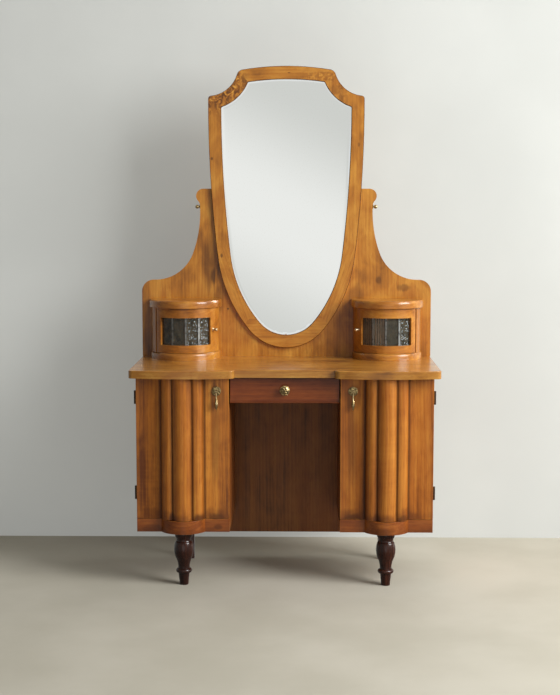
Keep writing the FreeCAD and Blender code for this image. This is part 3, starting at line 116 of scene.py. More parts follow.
def tint(red: int, green: int, blue: int) -> Colour:
    """The linear colour of a colour in screen steps of 0 to 255."""
    return linear(red), linear(green), linear(blue)


class Side(Enum):
    """The two halves of the table, as someone facing it sees them."""

    LEFT = "left"
    RIGHT = "right"

    @property
    def sign(self) -> int:
        """-1 on the left and 1 on the right."""
        return -1 if self is Side.LEFT else 1


class Grain(Enum):
    """Which way the fibres of a piece run."""

    UPRIGHT = "upright"
    LEVEL = "level"
    DEEP = "deep"
    SHIELD = "round the mirror frame"

    @property
    def turn(self) -> Point:
        """The turn that lays the fibres along Z."""
        turns = {Grain.LEVEL: (0.0, -QUARTER, 0.0), Grain.DEEP: (QUARTER, 0.0, 0.0)}
        return turns.get(self, (0.0, 0.0, 0.0))


class PaneTexture(Enum):
    """The rolled pattern of a cabinet pane."""

    HAMMERED = "hammered"
    REEDED = "reeded"
    PLAIN = "plain"


@dataclass(frozen=True)
class Layer:
    """A layer of noise over a surface.

    Attributes:
        scale: Its cells per metre, alike in all directions or along each axis.
        detail: Its finer layers.
        fade: Levels between which it shows; without them it is a number around the middle.
        swirl: How much it swirls.
    """

    scale: Union[Point, float]
    detail: float = 2.0
    fade: Optional[Span] = None
    swirl: float = 0.0


class Reading:
    """A socket's value inside a finish; sums and products of readings add Math nodes."""

    def __init__(self, board: "NodeBoard", socket: Optional[bpy.types.NodeSocket]) -> None:
        """Keeps the board and the socket that the value comes out of."""
        self.board = board
        self.socket = socket

    def _math(self, operation: str, first: "Term", second: "Term" = 0.0) -> "Reading":
        """The result of one more Math node."""
        return self.board.node("ShaderNodeMath", {"operation": operation}, {0: first, 1: second})

    def __add__(self, other: "Term") -> "Reading":
        """Sum."""
        return self._math("ADD", self, other)

    __radd__ = __add__

    def __sub__(self, other: "Term") -> "Reading":
        """Difference."""
        return self._math("SUBTRACT", self, other)

    def __rsub__(self, other: "Term") -> "Reading":
        """Difference, taken from a plain number."""
        return self._math("SUBTRACT", other, self)

    def __mul__(self, other: "Term") -> "Reading":
        """Product."""
        return self._math("MULTIPLY", self, other)

    __rmul__ = __mul__

    def __abs__(self) -> "Reading":
        """Size without sign."""
        return self._math("ABSOLUTE", self)

    def __lt__(self, other: "Term") -> "Reading":
        """1 where the value is the smaller, else 0."""
        return self._math("LESS_THAN", self, other)

    def __gt__(self, other: "Term") -> "Reading":
        """1 where the value is the larger, else 0."""
        return self._math("GREATER_THAN", self, other)

    @property
    def swing(self) -> "Reading":
        """How far a noise lies from its middle."""
        return self - NOISE_MIDDLE

    def larger(self, other: "Term") -> "Reading":
        """The larger of two values."""
        return self._math("MAXIMUM", self, other)

    def step(self, low: float, high: float) -> "Reading":
        """A soft step from 0 at low to 1 at high, which may lie below low."""
        values = {"Value": self, "From Min": low, "From Max": high}
        return self.board.node("ShaderNodeMapRange", {"interpolation_type": "SMOOTHSTEP"}, values)

    def part(self, name: str) -> "Reading":
        """One coordinate, X, Y or Z, of a vector."""
        return self.board.node("ShaderNodeSeparateXYZ", inputs={0: self}, output=name)


Term = Union[Reading, float]
Inputs = Mapping[Union[str, int], object]


class NodeBoard:
    """The node tree of a finish, with one way to put a node on it."""

    # The sockets of a Mix node that mixes colours, which share their names with others.
    MIX_SHARE = 0
    MIX_FIRST = 6
    MIX_SECOND = 7
    MIX_RESULT = 2

    def __init__(self, tree: bpy.types.NodeTree) -> None:
        """Starts from an empty tree."""
        self.tree = tree
        tree.nodes.clear()

    def node(
        self,
        kind: str,
        settings: Optional[Mapping[str, object]] = None,
        inputs: Optional[Inputs] = None,
        output: Union[str, int] = 0,
    ) -> Reading:
        """Adds a node: its settings first, then its sockets.

        Args:
            kind: The node's type.
            settings: Its own properties; "stops" sets a ramp's stops.
            inputs: Plain values or readings, by socket name or number.
            output: The output that is read.

        Returns:
            The reading of that output.
        """
        made = self.tree.nodes.new(kind)
        for name, value in (settings or {}).items():
            if name == "stops":
                self._set_stops(made.color_ramp, value)
            else:
                setattr(made, name, value)
        for key, value in (inputs or {}).items():
            socket = made.inputs[key]
            if isinstance(value, Reading):
                self.tree.links.new(value.socket, socket)
            elif socket.type == "RGBA":
                socket.default_value = (*value, 1.0)
            else:
                socket.default_value = value
        return Reading(self, made.outputs[output] if made.outputs else None)

    @staticmethod
    def _set_stops(ramp: bpy.types.ColorRamp, stops: Sequence[tuple[float, Colour]]) -> None:
        """Gives a ramp its stops.

        Args:
            ramp: The ramp, which holds two stops.
            stops: Each stop's place and colour.
        """
        for place, _ in stops[2:]:
            ramp.elements.new(place)
        for element, (place, colour) in zip(ramp.elements, stops):
            element.position = place
            element.color = (*colour, 1.0)

    def object_place(self) -> Reading:
        """The surface's place in the frame."""
        return self.node("ShaderNodeTexCoord", output="Object")

    def scaled(self, vector: Reading, scale: Point) -> Reading:
        """A vector stretched along its axes."""
        return self.node("ShaderNodeVectorMath", {"operation": "MULTIPLY"}, {0: vector, 1: scale})

    def noise(self, vector: Reading, layer: Layer, output: str = "Fac") -> Reading:
        """Lays a layer of noise over the surface.

        Args:
            vector: Where the noise is read.
            layer: The layer.
            output: "Fac" for a number, "Color" for a vector.

        Returns:
            The noise, or how far it shows if the layer fades.
        """
        even = isinstance(layer.scale, float)
        values = {
            "Vector": vector if even else self.scaled(vector, layer.scale),
            "Scale": layer.scale if even else 1.0,
            "Detail": layer.detail,
            "Distortion": layer.swirl,
        }
        made = self.node("ShaderNodeTexNoise", inputs=values, output=output)
        return made if layer.fade is None else made.step(*layer.fade)

    def ramp(self, value: Reading, places: Sequence[float], colours: Sequence[Colour]) -> Reading:
        """The colour that belongs to a value, between colours at given places."""
        return self.node("ShaderNodeValToRGB", {"stops": list(zip(places, colours))}, {0: value}, "Color")

    def layer(self, name: str) -> Reading:
        """What a mesh's own layer says."""
        return self.node("ShaderNodeAttribute", {"attribute_name": name}, output="Fac")

    def over(self, share: Term, first: Reading, second: Reading) -> Reading:
        """Two shaders, with a share of the second."""
        return self.node("ShaderNodeMixShader", inputs={0: share, 1: first, 2: second})

    def blend(self, share: Term, first: object, second: object, kind: str = "MIX") -> Reading:
        """Mixes two colours.

        Args:
            share: How much of the second colour.
            first: A colour or a reading of one.
            second: A colour or a reading of one.
            kind: The way that the colours mix.

        Returns:
            The mixed colour.
        """
        settings = {"data_type": "RGBA", "blend_type": kind}
        values = {self.MIX_SHARE: share, self.MIX_FIRST: first, self.MIX_SECOND: second}
        return self.node("ShaderNodeMix", settings, values, self.MIX_RESULT)

    def bump(self, height: Reading, depth: float, strength: float) -> Reading:
        """A surface normal that follows a fine relief of that depth."""
        values = {"Strength": strength, "Distance": depth, "Height": height}
        return self.node("ShaderNodeBump", inputs=values)

    def seen(self) -> Reading:
        """Tells apart what is seen and the light that falls on things.

        Returns:
            1 for what the eye sees, itself or in gloss and glass, else 0.
        """
        kinds = ("Is Camera Ray", "Is Glossy Ray", "Is Transmission Ray")
        eye, gloss, through = (self.node("ShaderNodeLightPath", output=kind) for kind in kinds)
        return eye.larger(gloss).larger(through)

    def surface(self, shader: Reading) -> None:
        """Ends a material's board in its surface."""
        self.node("ShaderNodeOutputMaterial", inputs={"Surface": shader})

    def principled(self, **inputs: object) -> Reading:
        """The main shader, with underscores in its socket names read as spaces."""
        values = {name.replace("_", " "): value for name, value in inputs.items()}
        return self.node("ShaderNodeBsdfPrincipled", inputs=values)


def new_board(name: str) -> tuple[bpy.types.Material, NodeBoard]:
    """Makes an empty material.

    Args:
        name: Its name.

    Returns:
        The material and the board that its nodes go on.
    """
    material = bpy.data.materials.new(name)
    material.use_nodes = True
    return material, NodeBoard(material.node_tree)


@dataclass(frozen=True)
class Knot:
    """A dark knot or streak in a board, or a patch of painted shadow.

    Attributes:
        place: Its middle, in the frame.
        reach: How far it goes from there along each axis.
        depth: How dark it is, 0 to 1.
        fray: How far the fibres fray its edge.
    """

    place: Point
    reach: Point
    depth: float = 0.8
    fray: float = 1.4

    def moved(self, out: float) -> "Knot":
        """The same knot, moved sideways."""
        return replace(self, place=(self.place[0] + out, *self.place[1:]))


@dataclass(frozen=True)
class Cut:
    """How a piece is cut from its plank.

    Attributes:
        grain: The way that its fibres run.
        seed: Picks another stretch of the plank.
        darker_foot: Heights between which the foot of the piece gets darker, dark end first.
        valleys: Distances from the table's middle at which dirt and painted shade lie between reeds.
        shade: How far the whole piece leans to the dark red side, 0 to 1; painted shade on the kneehole
            sides, the right door and the cabinets.
        knots_and_painted_shadows: Its knot marks and streaks, and painted shadows.
        burls: Wild figure around these spots.
        dark_edges: Whether painted shade, dark and dull, marks its edges instead of wear.
    """

    grain: Grain = Grain.UPRIGHT
    seed: int = 0
    darker_foot: Optional[Span] = None
    valleys: tuple[float, ...] = ()
    shade: float = 0.0
    knots_and_painted_shadows: tuple[Knot, ...] = ()
    burls: tuple[Knot, ...] = ()
    dark_edges: bool = False


@dataclass(frozen=True)
class ShieldCourse:
    """The straight boards that the mirror frame is joined from: top rail, stiles, flanks and foot.

    Attributes:
        mitre_half: Half width of the top rail at the inner corner of its mitre.
        mitre_level: Height of that corner.
        mitre_lean: How far the mitre leans out over its rise.
        flank_level: Height below which the flanks swing in.
        flank_lean: Angle of the flanks against the upright.
        foot_joint: Half width of the foot at the table's own level of 0.
        foot_lean: How far the joint of the foot leans in over its rise.
        right_shift: Moves the right boards to another stretch of the plank.
    """

    mitre_half: float = 0.138
    mitre_level: float = 1.743
    mitre_lean: float = 0.878
    flank_level: float = 1.15
    flank_lean: float = math.radians(20)
    foot_joint: float = 0.9125
    foot_lean: float = 0.875
    right_shift: float = 0.37

    def vector(self, board: NodeBoard) -> Reading:
        """Places on the frame, measured across, through and along the fibres.

        Args:
            board: The finish's board.

        Returns:
            The vector, with Z along the fibres.
        """
        place = board.object_place()
        x, y, z = (place.part(axis) for axis in "XYZ")
        out = abs(x)
        drop = (z - self.flank_level) * (z < self.flank_level)
        rail = out - (z - self.mitre_level) * self.mitre_lean < self.mitre_half
        foot = out + z * self.foot_lean < self.foot_joint
        level = rail.larger(foot)
        flank = out - drop * math.tan(self.flank_lean)
        across = flank + (z - flank) * level
        along = z + (x - z) * level
        through = y + self.right_shift * (x > 0.0) * (1.0 - level)
        return board.node("ShaderNodeCombineXYZ", inputs={0: across, 1: through, 2: along})


@dataclass(frozen=True)
class Growth:
    """What all the woods share: layers of noise, how much of each shows, and how marks fade.

    Attributes:
        plank_step: How far apart two seeds lie on the plank, along each axis.
        sway: Slow bends of the fibres.
        sway_reach: How far they bend.
        fibre: Broad fibres.
        fine: Fine fibres.
        pores: Open pores.
        clouds: Cloudy figure.
        streaks: Long streaks.
        ripple: Figure across the fibres.
        rippled: Where that figure shows.
        patch_scale: Broad patches per metre across the fibres.
        ring_bend: How far the rings wander, in how many finer layers, and how often.
        grown: Shares of the rings, the fibres and the fine fibres in the tone.
        tones: Tones of the deep, the main and the light colour.
        pore_share: How dark the pores are.
        ruddy_fade: Levels between which a patch turns red.
        ruddy_share: How red it turns.
        wear: Where an edge is worn.
        wear_share: How pale it is there.
        relief: Heights of the fibres, the fine fibres and the pores, as shares of the depth.
        relief_depth: Depth of that relief.
        relief_strength: How much of it shows.
        dulled: How much rougher fibres and pores are.
        gloss: Specular level below the polish.
        dirt_and_shade_share: What the colour of old dirt and painted shade keeps of the deep colour.
        edge_shade_roughness: Roughness of the painted shade on dark edges.
        foot_edge_noise: Uneven upper edge of the darker foot.
        darker_foot_fray: How far fibres and that unevenness shift that edge.
        darker_foot_share: How dark the darker foot is.
        valley_fray: How far the fibres shift the edge of the dirt and painted shade in a valley.
        valley_fade: Distances from a valley between which its dirt and painted shade show, clean end first.
        valley_share: How dark that dirt and painted shade are.
        knot_fade: Distances from a knot's middle between which it shows, as shares of its reach.
        swirl: Wild figure of a burl.
        swirl_tones: Levels of its dirty, deep, main and light colour.
    """

    plank_step: Point = (0.31, 0.17, 0.83)
    sway: Layer = Layer((3.0, 3.0, 1.1))
    sway_reach: float = 0.035
    fibre: Layer = Layer((80.0, 80.0, 1.5), 4.0)
    fine: Layer = Layer((420.0, 420.0, 9.0))
    pores: Layer = Layer((760.0, 760.0, 26.0), 1.0, (0.60, 0.70))
    clouds: Layer = Layer((17.0, 17.0, 10.0), 3.0, swirl=0.6)
    streaks: Layer = Layer((26.0, 26.0, 0.8))
    ripple: Layer = Layer((13.0, 13.0, 95.0), 1.0)
    rippled: Layer = Layer((6.0, 6.0, 3.0), fade=(0.50, 0.66))
    patch_scale: float = 9.0
    ring_bend: Point = (2.5, 2.0, 0.25)
    grown: Point = (0.12, 0.42, 0.32)
    tones: Point = (0.12, 0.46, 0.90)
    pore_share: float = 0.35
    ruddy_fade: Span = (0.46, 0.68)
    ruddy_share: float = 0.75
    wear: Layer = Layer(34.0, fade=(0.38, 0.62))
    wear_share: float = 0.55
    relief: Point = (0.3, 0.3, -0.5)
    relief_depth: float = 0.0005
    relief_strength: float = 0.35
    dulled: Span = (0.22, 0.12)
    gloss: float = 0.28
    dirt_and_shade_share: float = 0.45
    edge_shade_roughness: float = 0.9
    foot_edge_noise: Layer = Layer(24.0)
    darker_foot_fray: Span = (0.016, -0.11)
    darker_foot_share: float = 0.7
    valley_fray: float = 0.004
    valley_fade: Span = (0.0085, 0.0005)
    valley_share: float = 0.8
    knot_fade: Span = (1.0, 0.45)
    swirl: Layer = Layer(46.0, 1.5, swirl=1.6)
    swirl_tones: tuple[float, ...] = (0.36, 0.46, 0.58, 0.70)


@dataclass(frozen=True)
class WoodFinish:
    """Polished wood: growth rings, fibres, pores, ripple figure, a darker foot, worn edges and painted
    shade.

    Attributes:
        name: The finish's name.
        slot: Name of the record's slot for this finish.
        deep: Colour of the late growth and the pores.
        body: Main colour.
        light: Colour of the early growth.
        ruddy: What the dark red patches keep of each colour.
        ring_width: Width of a growth ring.
        contrast: How far rings and fibres leave the main colour.
        ripple: Strength of the figure across the fibres.
        mottle: Strength of the broad patches.
        streak: Strength of the long streaks.
        blotch: Strength of the cloudy figure.
        run: Patches per metre along the fibres.
        roughness: Roughness of the wood.
        coat: Weight of the polish over it.
        sheen_roughness: Roughness of the polish.
        pith: Where the heart of the tree lies beside the piece.
        lean: How the heart leans against the fibres.
        stretch: How slowly the rings change along the fibres.
        growth: What it shares with the other woods.
    """

    name: str
    slot: str
    deep: Colour
    body: Colour
    light: Colour
    ruddy: Colour = (0.72, 0.56, 0.46)
    ring_width: float = 0.011
    contrast: float = 1.0
    ripple: float = 0.16
    mottle: float = 0.9
    streak: float = 0.6
    blotch: float = 0.45
    run: float = 1.8
    roughness: float = 0.36
    coat: float = 0.2
    sheen_roughness: float = 0.16
    pith: Span = (0.17, 0.09)
    lean: Span = (0.45, 0.3)
    stretch: float = 0.06
    growth: Growth = Growth()

    @property
    def dark(self) -> Colour:
        """Colour of old dirt in the wood, and of painted shade in valleys, on dark edges and in painted
        shadows.
        """
        return tuple(self.growth.dirt_and_shade_share * c for c in self.deep)

    def material(self, piece: str, cut: Cut) -> bpy.types.Material:
        """Makes the finish for one piece.

        Args:
            piece: The piece's name.
            cut: How it is cut from the plank.

        Returns:
            The material.
        """
        growth = self.growth
        material, board = new_board(f"{self.name}_{piece}")
        plank = self._plank(board, cut)
        bend = {0: board.noise(plank, growth.sway, "Color"), 1: (growth.sway_reach,) * 3, 2: plank}
        swayed = board.node("ShaderNodeVectorMath", {"operation": "MULTIPLY_ADD"}, bend)
        fibre = board.noise(swayed, growth.fibre)
        fine = board.noise(swayed, growth.fine)
        pores = board.noise(swayed, growth.pores)
        patches = board.noise(swayed, Layer((growth.patch_scale, growth.patch_scale, self.run)))
        rings, broad, thin = growth.grown
        grown = self._rings(board, swayed).swing * rings + fibre.swing * broad + fine.swing * thin
        tone = NOISE_MIDDLE + grown * self.contrast + patches.swing * self.mottle
        tone = tone + self._figure(board, plank, swayed)
        colour = board.ramp(tone, growth.tones, (self.deep, self.body, self.light))
        colour = board.blend(pores * growth.pore_share, colour, self.deep)
        warmth = patches.step(*growth.ruddy_fade) * growth.ruddy_share
        # The cut's shade darkens some pieces as painted shade.
        colour = board.blend(warmth.larger(cut.shade), colour, self.ruddy, "MULTIPLY")
        colour = self._marked(board, colour, cut, fibre)
        # The worn layer marks worn edges, and painted shade where the cut has dark edges.
        worn = board.layer(WEAR_AND_SHADE_LAYER)
        if not cut.dark_edges:
            pale = worn * board.noise(plank, growth.wear) * growth.wear_share
            colour = board.blend(pale, colour, self.light)
        ridge, thread, pit = growth.relief
        relief = fibre * ridge + fine * thread + pores * pit
        shader = board.principled(
            Base_Color=colour,
            Roughness=self.roughness + fibre.swing * growth.dulled[0] + pores * growth.dulled[1],
            Normal=board.bump(relief, growth.relief_depth, growth.relief_strength),
            Specular_IOR_Level=growth.gloss,
            Coat_Weight=self.coat,
            Coat_Roughness=self.sheen_roughness,
        )
        # Painted shade: a dark, dull shader over the marked edges.
        if cut.dark_edges:
            dull = growth.edge_shade_roughness
            dirt = board.principled(Base_Color=self.dark, Roughness=dull, Specular_IOR_Level=0.0)
            shader = board.over(worn, shader, dirt)
        board.surface(shader)
        return material

    def _plank(self, board: NodeBoard, cut: Cut) -> Reading:
        """Turns the piece so that Z runs along its fibres.

        Args:
            board: The finish's board.
            cut: How the piece is cut.

        Returns:
            Places in the plank.
        """
        place = ShieldCourse().vector(board) if cut.grain is Grain.SHIELD else board.object_place()
        shift = tuple(step * cut.seed for step in self.growth.plank_step)
        values = {"Vector": place, "Location": shift, "Rotation": cut.grain.turn}
        return board.node("ShaderNodeMapping", inputs=values)

    def _rings(self, board: NodeBoard, swayed: Reading) -> Reading:
        """Cuts through the growth rings round the heart of the tree.

        Args:
            board: The finish's board.
            swayed: Places in the plank, swayed as the tree grew.

        Returns:
            The growth, 0 to 1 across each ring.
        """
        lying = {
            "Vector": swayed,
            "Location": (*self.pith, 0.0),
            "Rotation": (*self.lean, 0.0),
            "Scale": (1.0, 1.0, self.stretch),
        }
        settings = {"wave_type": "RINGS", "rings_direction": "Z", "wave_profile": "SAW"}
        values = {
            "Vector": board.node("ShaderNodeMapping", inputs=lying),
            "Scale": WAVE_RING / self.ring_width,
            **dict(zip(("Distortion", "Detail", "Detail Scale"), self.growth.ring_bend)),
        }
        return board.node("ShaderNodeTexWave", settings, values, "Fac")

    def _figure(self, board: NodeBoard, plank: Reading, swayed: Reading) -> Reading:
        """Adds up the streaks, the clouds and the ripple across the fibres.

        Args:
            board: The finish's board.
            plank: Places in the plank.
            swayed: The same places, swayed as the tree grew.

        Returns:
            How much lighter or darker they make the wood.
        """
        clouds = board.noise(swayed, self.growth.clouds).swing
        streaks = board.noise(swayed, self.growth.streaks).swing
        ripple = board.noise(plank, self.growth.ripple).swing * board.noise(plank, self.growth.rippled)
        return streaks * self.streak + clouds * self.blotch + ripple * self.ripple

    def _marked(self, board: NodeBoard, colour: Reading, cut: Cut, fibre: Reading) -> Reading:
        """Adds the darker foot, the dirt and painted shade in the valleys, the knot marks and painted
        shadows, and the wild figure of one piece.

        Args:
            board: The finish's board.
            colour: The clean wood.
            cut: How the piece is cut.
            fibre: The fibres, which make the edges of the marks uneven.

        Returns:
            The marked colour.
        """
        growth = self.growth
        place = board.object_place()
        # Darker towards the foot of the piece.
        if cut.darker_foot is not None:
            low, high = cut.darker_foot
            fray, edge_wander = growth.darker_foot_fray
            height = place.part("Z") + fibre.swing * fray + board.noise(place, growth.foot_edge_noise).swing * edge_wander
            colour = board.blend(height.step(high, low) * growth.darker_foot_share, colour, self.deep)
        # Dirt and painted shade in the valleys between reeds.
        for line in cut.valleys:
            gap = abs(abs(place.part("X")) - line) + fibre.swing * growth.valley_fray
            colour = board.blend(gap.step(*growth.valley_fade) * growth.valley_share, colour, self.dark)
        # Each knot mark, and each painted shadow laid out like one.
        for knot in cut.knots_and_painted_shadows:
            colour = board.blend(self._near(board, place, knot, fibre), colour, self.dark)
        for burl in cut.burls:
            swirl = board.noise(place, growth.swirl)
            wild = board.ramp(swirl, growth.swirl_tones, (self.dark, self.deep, self.body, self.light))
            colour = board.blend(self._near(board, place, burl, fibre), colour, wild)
        return colour

    def _near(self, board: NodeBoard, place: Reading, knot: Knot, fibre: Reading) -> Reading:
        """How much of a knot shows at a place.

        Args:
            board: The finish's board.
            place: Places in the frame.
            knot: The knot.
            fibre: The fibres, which fray its edge.

        Returns:
            Its share, 0 to its depth.
        """
        values = {
            "Vector": place,
            "Location": tuple(-p / r for p, r in zip(knot.place, knot.reach)),
            "Scale": tuple(1 / r for r in knot.reach),
        }
        offset = board.node("ShaderNodeMapping", inputs=values)
        distance = board.node("ShaderNodeVectorMath", {"operation": "LENGTH"}, {0: offset}, "Value")
        return (distance + fibre.swing * knot.fray).step(*self.growth.knot_fade) * knot.depth


@dataclass(frozen=True)
class MetalFinish:
    """Cast or forged metal with a worn face and darker old patches.

    Attributes:
        name: The finish's name.
        slot: Name of the record's slot for this finish.
        bright: Colour of the rubbed metal.
        tarnish: Colour of the old patches.
        patches: Where they lie.
        tarnish_share: How much of their colour shows.
        pits: Fine pits of the casting.
        pit_depth: Depth of the pits.
        pit_strength: How much of their relief shows.
        roughness: Roughness of the rubbed metal.
        dulled: How much rougher the patches and the pits are.
        metallic: How much of it is bare metal.
    """

    name: str
    slot: str
    bright: Colour
    tarnish: Colour
    patches: Layer = Layer(150.0, 3.0, (0.46, 0.66))
    tarnish_share: float = 0.8
    pits: Layer = Layer(1400.0)
    pit_depth: float = 0.0002
    pit_strength: float = 0.2
    roughness: float = 0.26
    dulled: Span = (0.2, 0.1)
    metallic: float = 1.0

    def material(self, piece: str) -> bpy.types.Material:
        """Makes the finish for one piece.

        Args:
            piece: The piece's name.

        Returns:
            The material.
        """
        material, board = new_board(f"{self.name}_{piece}")
        place = board.object_place()
        old = board.noise(place, self.patches)
        pits = board.noise(place, self.pits)
        shader = board.principled(
            Base_Color=board.blend(old * self.tarnish_share, self.bright, self.tarnish),
            Metallic=self.metallic,
            Roughness=self.roughness + old * self.dulled[0] + pits.swing * self.dulled[1],
            Normal=board.bump(pits, self.pit_depth, self.pit_strength),
        )
        board.surface(shader)
        return material


@dataclass(frozen=True)
class PaneFinish:
    """Rolled cabinet glass, grey and a little dusty, with painted glints on the crests of its pattern.

    Attributes:
        name: The finish's name.
        slot: Name of the record's slot for this finish.
        clear: Colour of clean glass.
        dusty: Colour of glass with dust on it.
        dust: Where dust lies.
        dust_roughness: How much rougher dust makes the glass.
        roughness: Roughness of clean glass.
        refraction: How much the glass bends light.
        passing: How much light goes through it.
        crest_glint: Colour of the painted glints on the crests of the pattern.
        crest_glint_roughness: Roughness of those painted glints.
        glint_share: How much of them shows.
        uneven: Where more or less of them shows.
        uneven_share: How much more or less.
    """

    name: str = "rolled_glass"
    slot: str = "textured_glass"
    clear: Colour = tint(172, 168, 148)
    dusty: Colour = tint(122, 114, 94)
    dust: Layer = Layer(55.0, 3.0, (0.42, 0.70))
    dust_roughness: float = 0.08
    roughness: float = 0.03
    refraction: float = 1.5
    passing: float = 0.9
    crest_glint: Colour = tint(188, 196, 198)
    crest_glint_roughness: float = 0.3
    glint_share: float = 0.75
    uneven: Layer = Layer(30.0)
    uneven_share: float = 1.2

    def material(self, piece: str) -> bpy.types.Material:
        """Makes the finish for one pane.

        Args:
            piece: The pane's name.

        Returns:
            The material.
        """
        material, board = new_board(f"{self.name}_{piece}")
        place = board.object_place()
        dust = board.noise(place, self.dust)
        glass = board.principled(
            Base_Color=board.blend(dust, self.clear, self.dusty),
            Roughness=self.roughness + dust * self.dust_roughness,
            IOR=self.refraction,
            Transmission_Weight=self.passing,
        )
        # Painted glints: a pale, opaque shader on the crests of the pattern.
        glint = board.principled(Base_Color=self.crest_glint, Roughness=self.crest_glint_roughness)
        glint_share = self.glint_share + board.noise(place, self.uneven).swing * self.uneven_share
        board.surface(board.over(board.layer(CREST_LAYER) * glint_share, glass, glint))
        return material


@dataclass(frozen=True)
class MirrorFinish:
    """Silvered glass with a breath of haze.

    Attributes:
        name: The finish's name.
        slot: Name of the record's slot for this finish.
        silver: Colour of clean silver.
        aged: Colour where the silver has dimmed.
        haze: Where it has dimmed.
        roughness: Roughness of clean silver.
        haze_roughness: How much rougher the haze makes it.
    """

    name: str = "silvered_glass"
    slot: str = "mirror"
    silver: Colour = tint(248, 249, 247)
    aged: Colour = tint(243, 243, 239)
    haze: Layer = Layer(260.0, 3.0, (0.55, 0.80))
    roughness: float = 0.012
    haze_roughness: float = 0.02

    def material(self, piece: str) -> bpy.types.Material:
        """Makes the finish for the mirror.

        Args:
            piece: The piece's name.

        Returns:
            The material.
        """
        material, board = new_board(f"{self.name}_{piece}")
        haze = board.noise(board.object_place(), self.haze)
        shader = board.principled(
            Base_Color=board.blend(haze, self.silver, self.aged),
            Metallic=1.0,
            Roughness=self.roughness + haze * self.haze_roughness,
        )
        board.surface(shader)
        return material


@dataclass(frozen=True)
class StageFinish:
    """A plain plastered wall or floor.

    Attributes:
        name: The finish's name.
        pale: Its paler colour.
        deep: Its darker colour.
        clouds: Where it is paler.
        roughness: Its roughness.
        gloss: Its specular level.
        hidden_behind: Whether it shows from its front alone.
        glow: How much of its own pale colour is seen, whatever light falls on it.
    """

    name: str
    pale: Colour
    deep: Colour
    clouds: Layer
    roughness: float = 0.75
    gloss: float = 0.2
    hidden_behind: bool = False
    glow: float = 0.0

    def material(self) -> bpy.types.Material:
        """Makes the finish.

        Returns:
            The material.
        """
        material, board = new_board(self.name)
        clouds = board.noise(board.object_place(), self.clouds)
        shader = board.principled(
            Base_Color=board.blend(clouds, self.deep, self.pale),
            Roughness=self.roughness,
            Specular_IOR_Level=self.gloss,
        )
        if self.glow > 0:
            pale = board.node("ShaderNodeEmission", inputs={"Color": self.pale, "Strength": 1.0})
            shader = board.over(board.seen() * self.glow, shader, pale)
        if self.hidden_behind:
            behind = board.node("ShaderNodeNewGeometry", output="Backfacing")
            lit = board.node("ShaderNodeLightPath", output="Is Shadow Ray")
            shader = board.over(behind.larger(lit), shader, board.node("ShaderNodeBsdfTransparent"))
        board.surface(shader)
        return material


HONEY = WoodFinish("honey_wood", "honey_wood", tint(100, 50, 16), tint(172, 102, 32), tint(214, 148, 58))
GOLDEN = replace(HONEY, name="golden_wood", deep=tint(104, 58, 18), body=tint(178, 114, 37),
                 light=tint(222, 165, 70), coat=0.35, sheen_roughness=0.13, contrast=0.75, streak=0.35,
                 blotch=0.75, mottle=0.7, run=4.0)
# The top's colours are lighter than the golden wood's: painted light and sheen from above.
TOP = replace(GOLDEN, name="top_wood", body=tint(182, 121, 42), light=tint(226, 173, 82), coat=1.0,
              sheen_roughness=0.22)
MOULDING = replace(GOLDEN, name="moulding_wood", coat=0.75, sheen_roughness=0.17)
PLINTH = replace(HONEY, name="plinth_wood", body=tint(148, 84, 32), light=tint(188, 122, 54))
RED_BROWN = WoodFinish("red_brown_wood", "red_brown_wood", tint(57, 24, 9), tint(110, 52, 19),
                       tint(149, 81, 32))
DARK_PANEL = WoodFinish("dark_panel_wood", "dark_panel_wood", tint(72, 41, 17), tint(142, 86, 37),
                        tint(174, 113, 51), roughness=0.45, coat=0.1)
DARK_LEG = WoodFinish("dark_leg_wood", "dark_leg_wood", tint(20, 10, 7), tint(50, 24, 15), tint(84, 42, 26),
                      roughness=0.26, coat=0.4, sheen_roughness=0.08)
INNER = WoodFinish("inner_wood", "inner_wood", tint(128, 88, 50), tint(178, 138, 88), tint(206, 170, 118),
                   roughness=0.62, coat=0.0)
BRASS = MetalFinish("pale_brass", "pale_brass", tint(208, 182, 130), tint(84, 64, 36),
                    Layer(150.0, 3.0, (0.40, 0.60)))
OLD_BRASS = replace(BRASS, name="old_brass", bright=tint(208, 182, 128), tarnish=tint(98, 80, 48))
HANDLED_BRASS = replace(BRASS, name="handled_brass", bright=tint(230, 206, 152), tarnish=tint(126, 100, 58))
RUBBED_BRASS = replace(BRASS, name="rubbed_brass", bright=tint(236, 220, 186), tarnish=tint(166, 138, 92))
IRON = MetalFinish("dark_iron", "dark_iron", tint(64, 45, 33), tint(40, 27, 20), roughness=0.6, metallic=0.4)
LEAD = MetalFinish("lead", "lead", tint(140, 140, 136), tint(78, 78, 75), Layer(90.0, 3.0, (0.46, 0.66)),
                   roughness=0.45)
GLASS = PaneFinish()
# Fluted glass has pale brown painted glints on its crests.
FLUTED = replace(GLASS, name="fluted_glass", crest_glint=tint(136, 112, 84))
SILVER = MirrorFinish()
SCREED = StageFinish("floor_screed", tint(192, 187, 173), tint(180, 175, 160), Layer(2.2, 5.0, (0.3, 0.7)))
PLASTER = StageFinish("wall_plaster", tint(214, 216, 212), tint(205, 207, 203), Layer(1.6, 5.0, (0.3, 0.7)),
                      hidden_behind=True, glow=0.3)


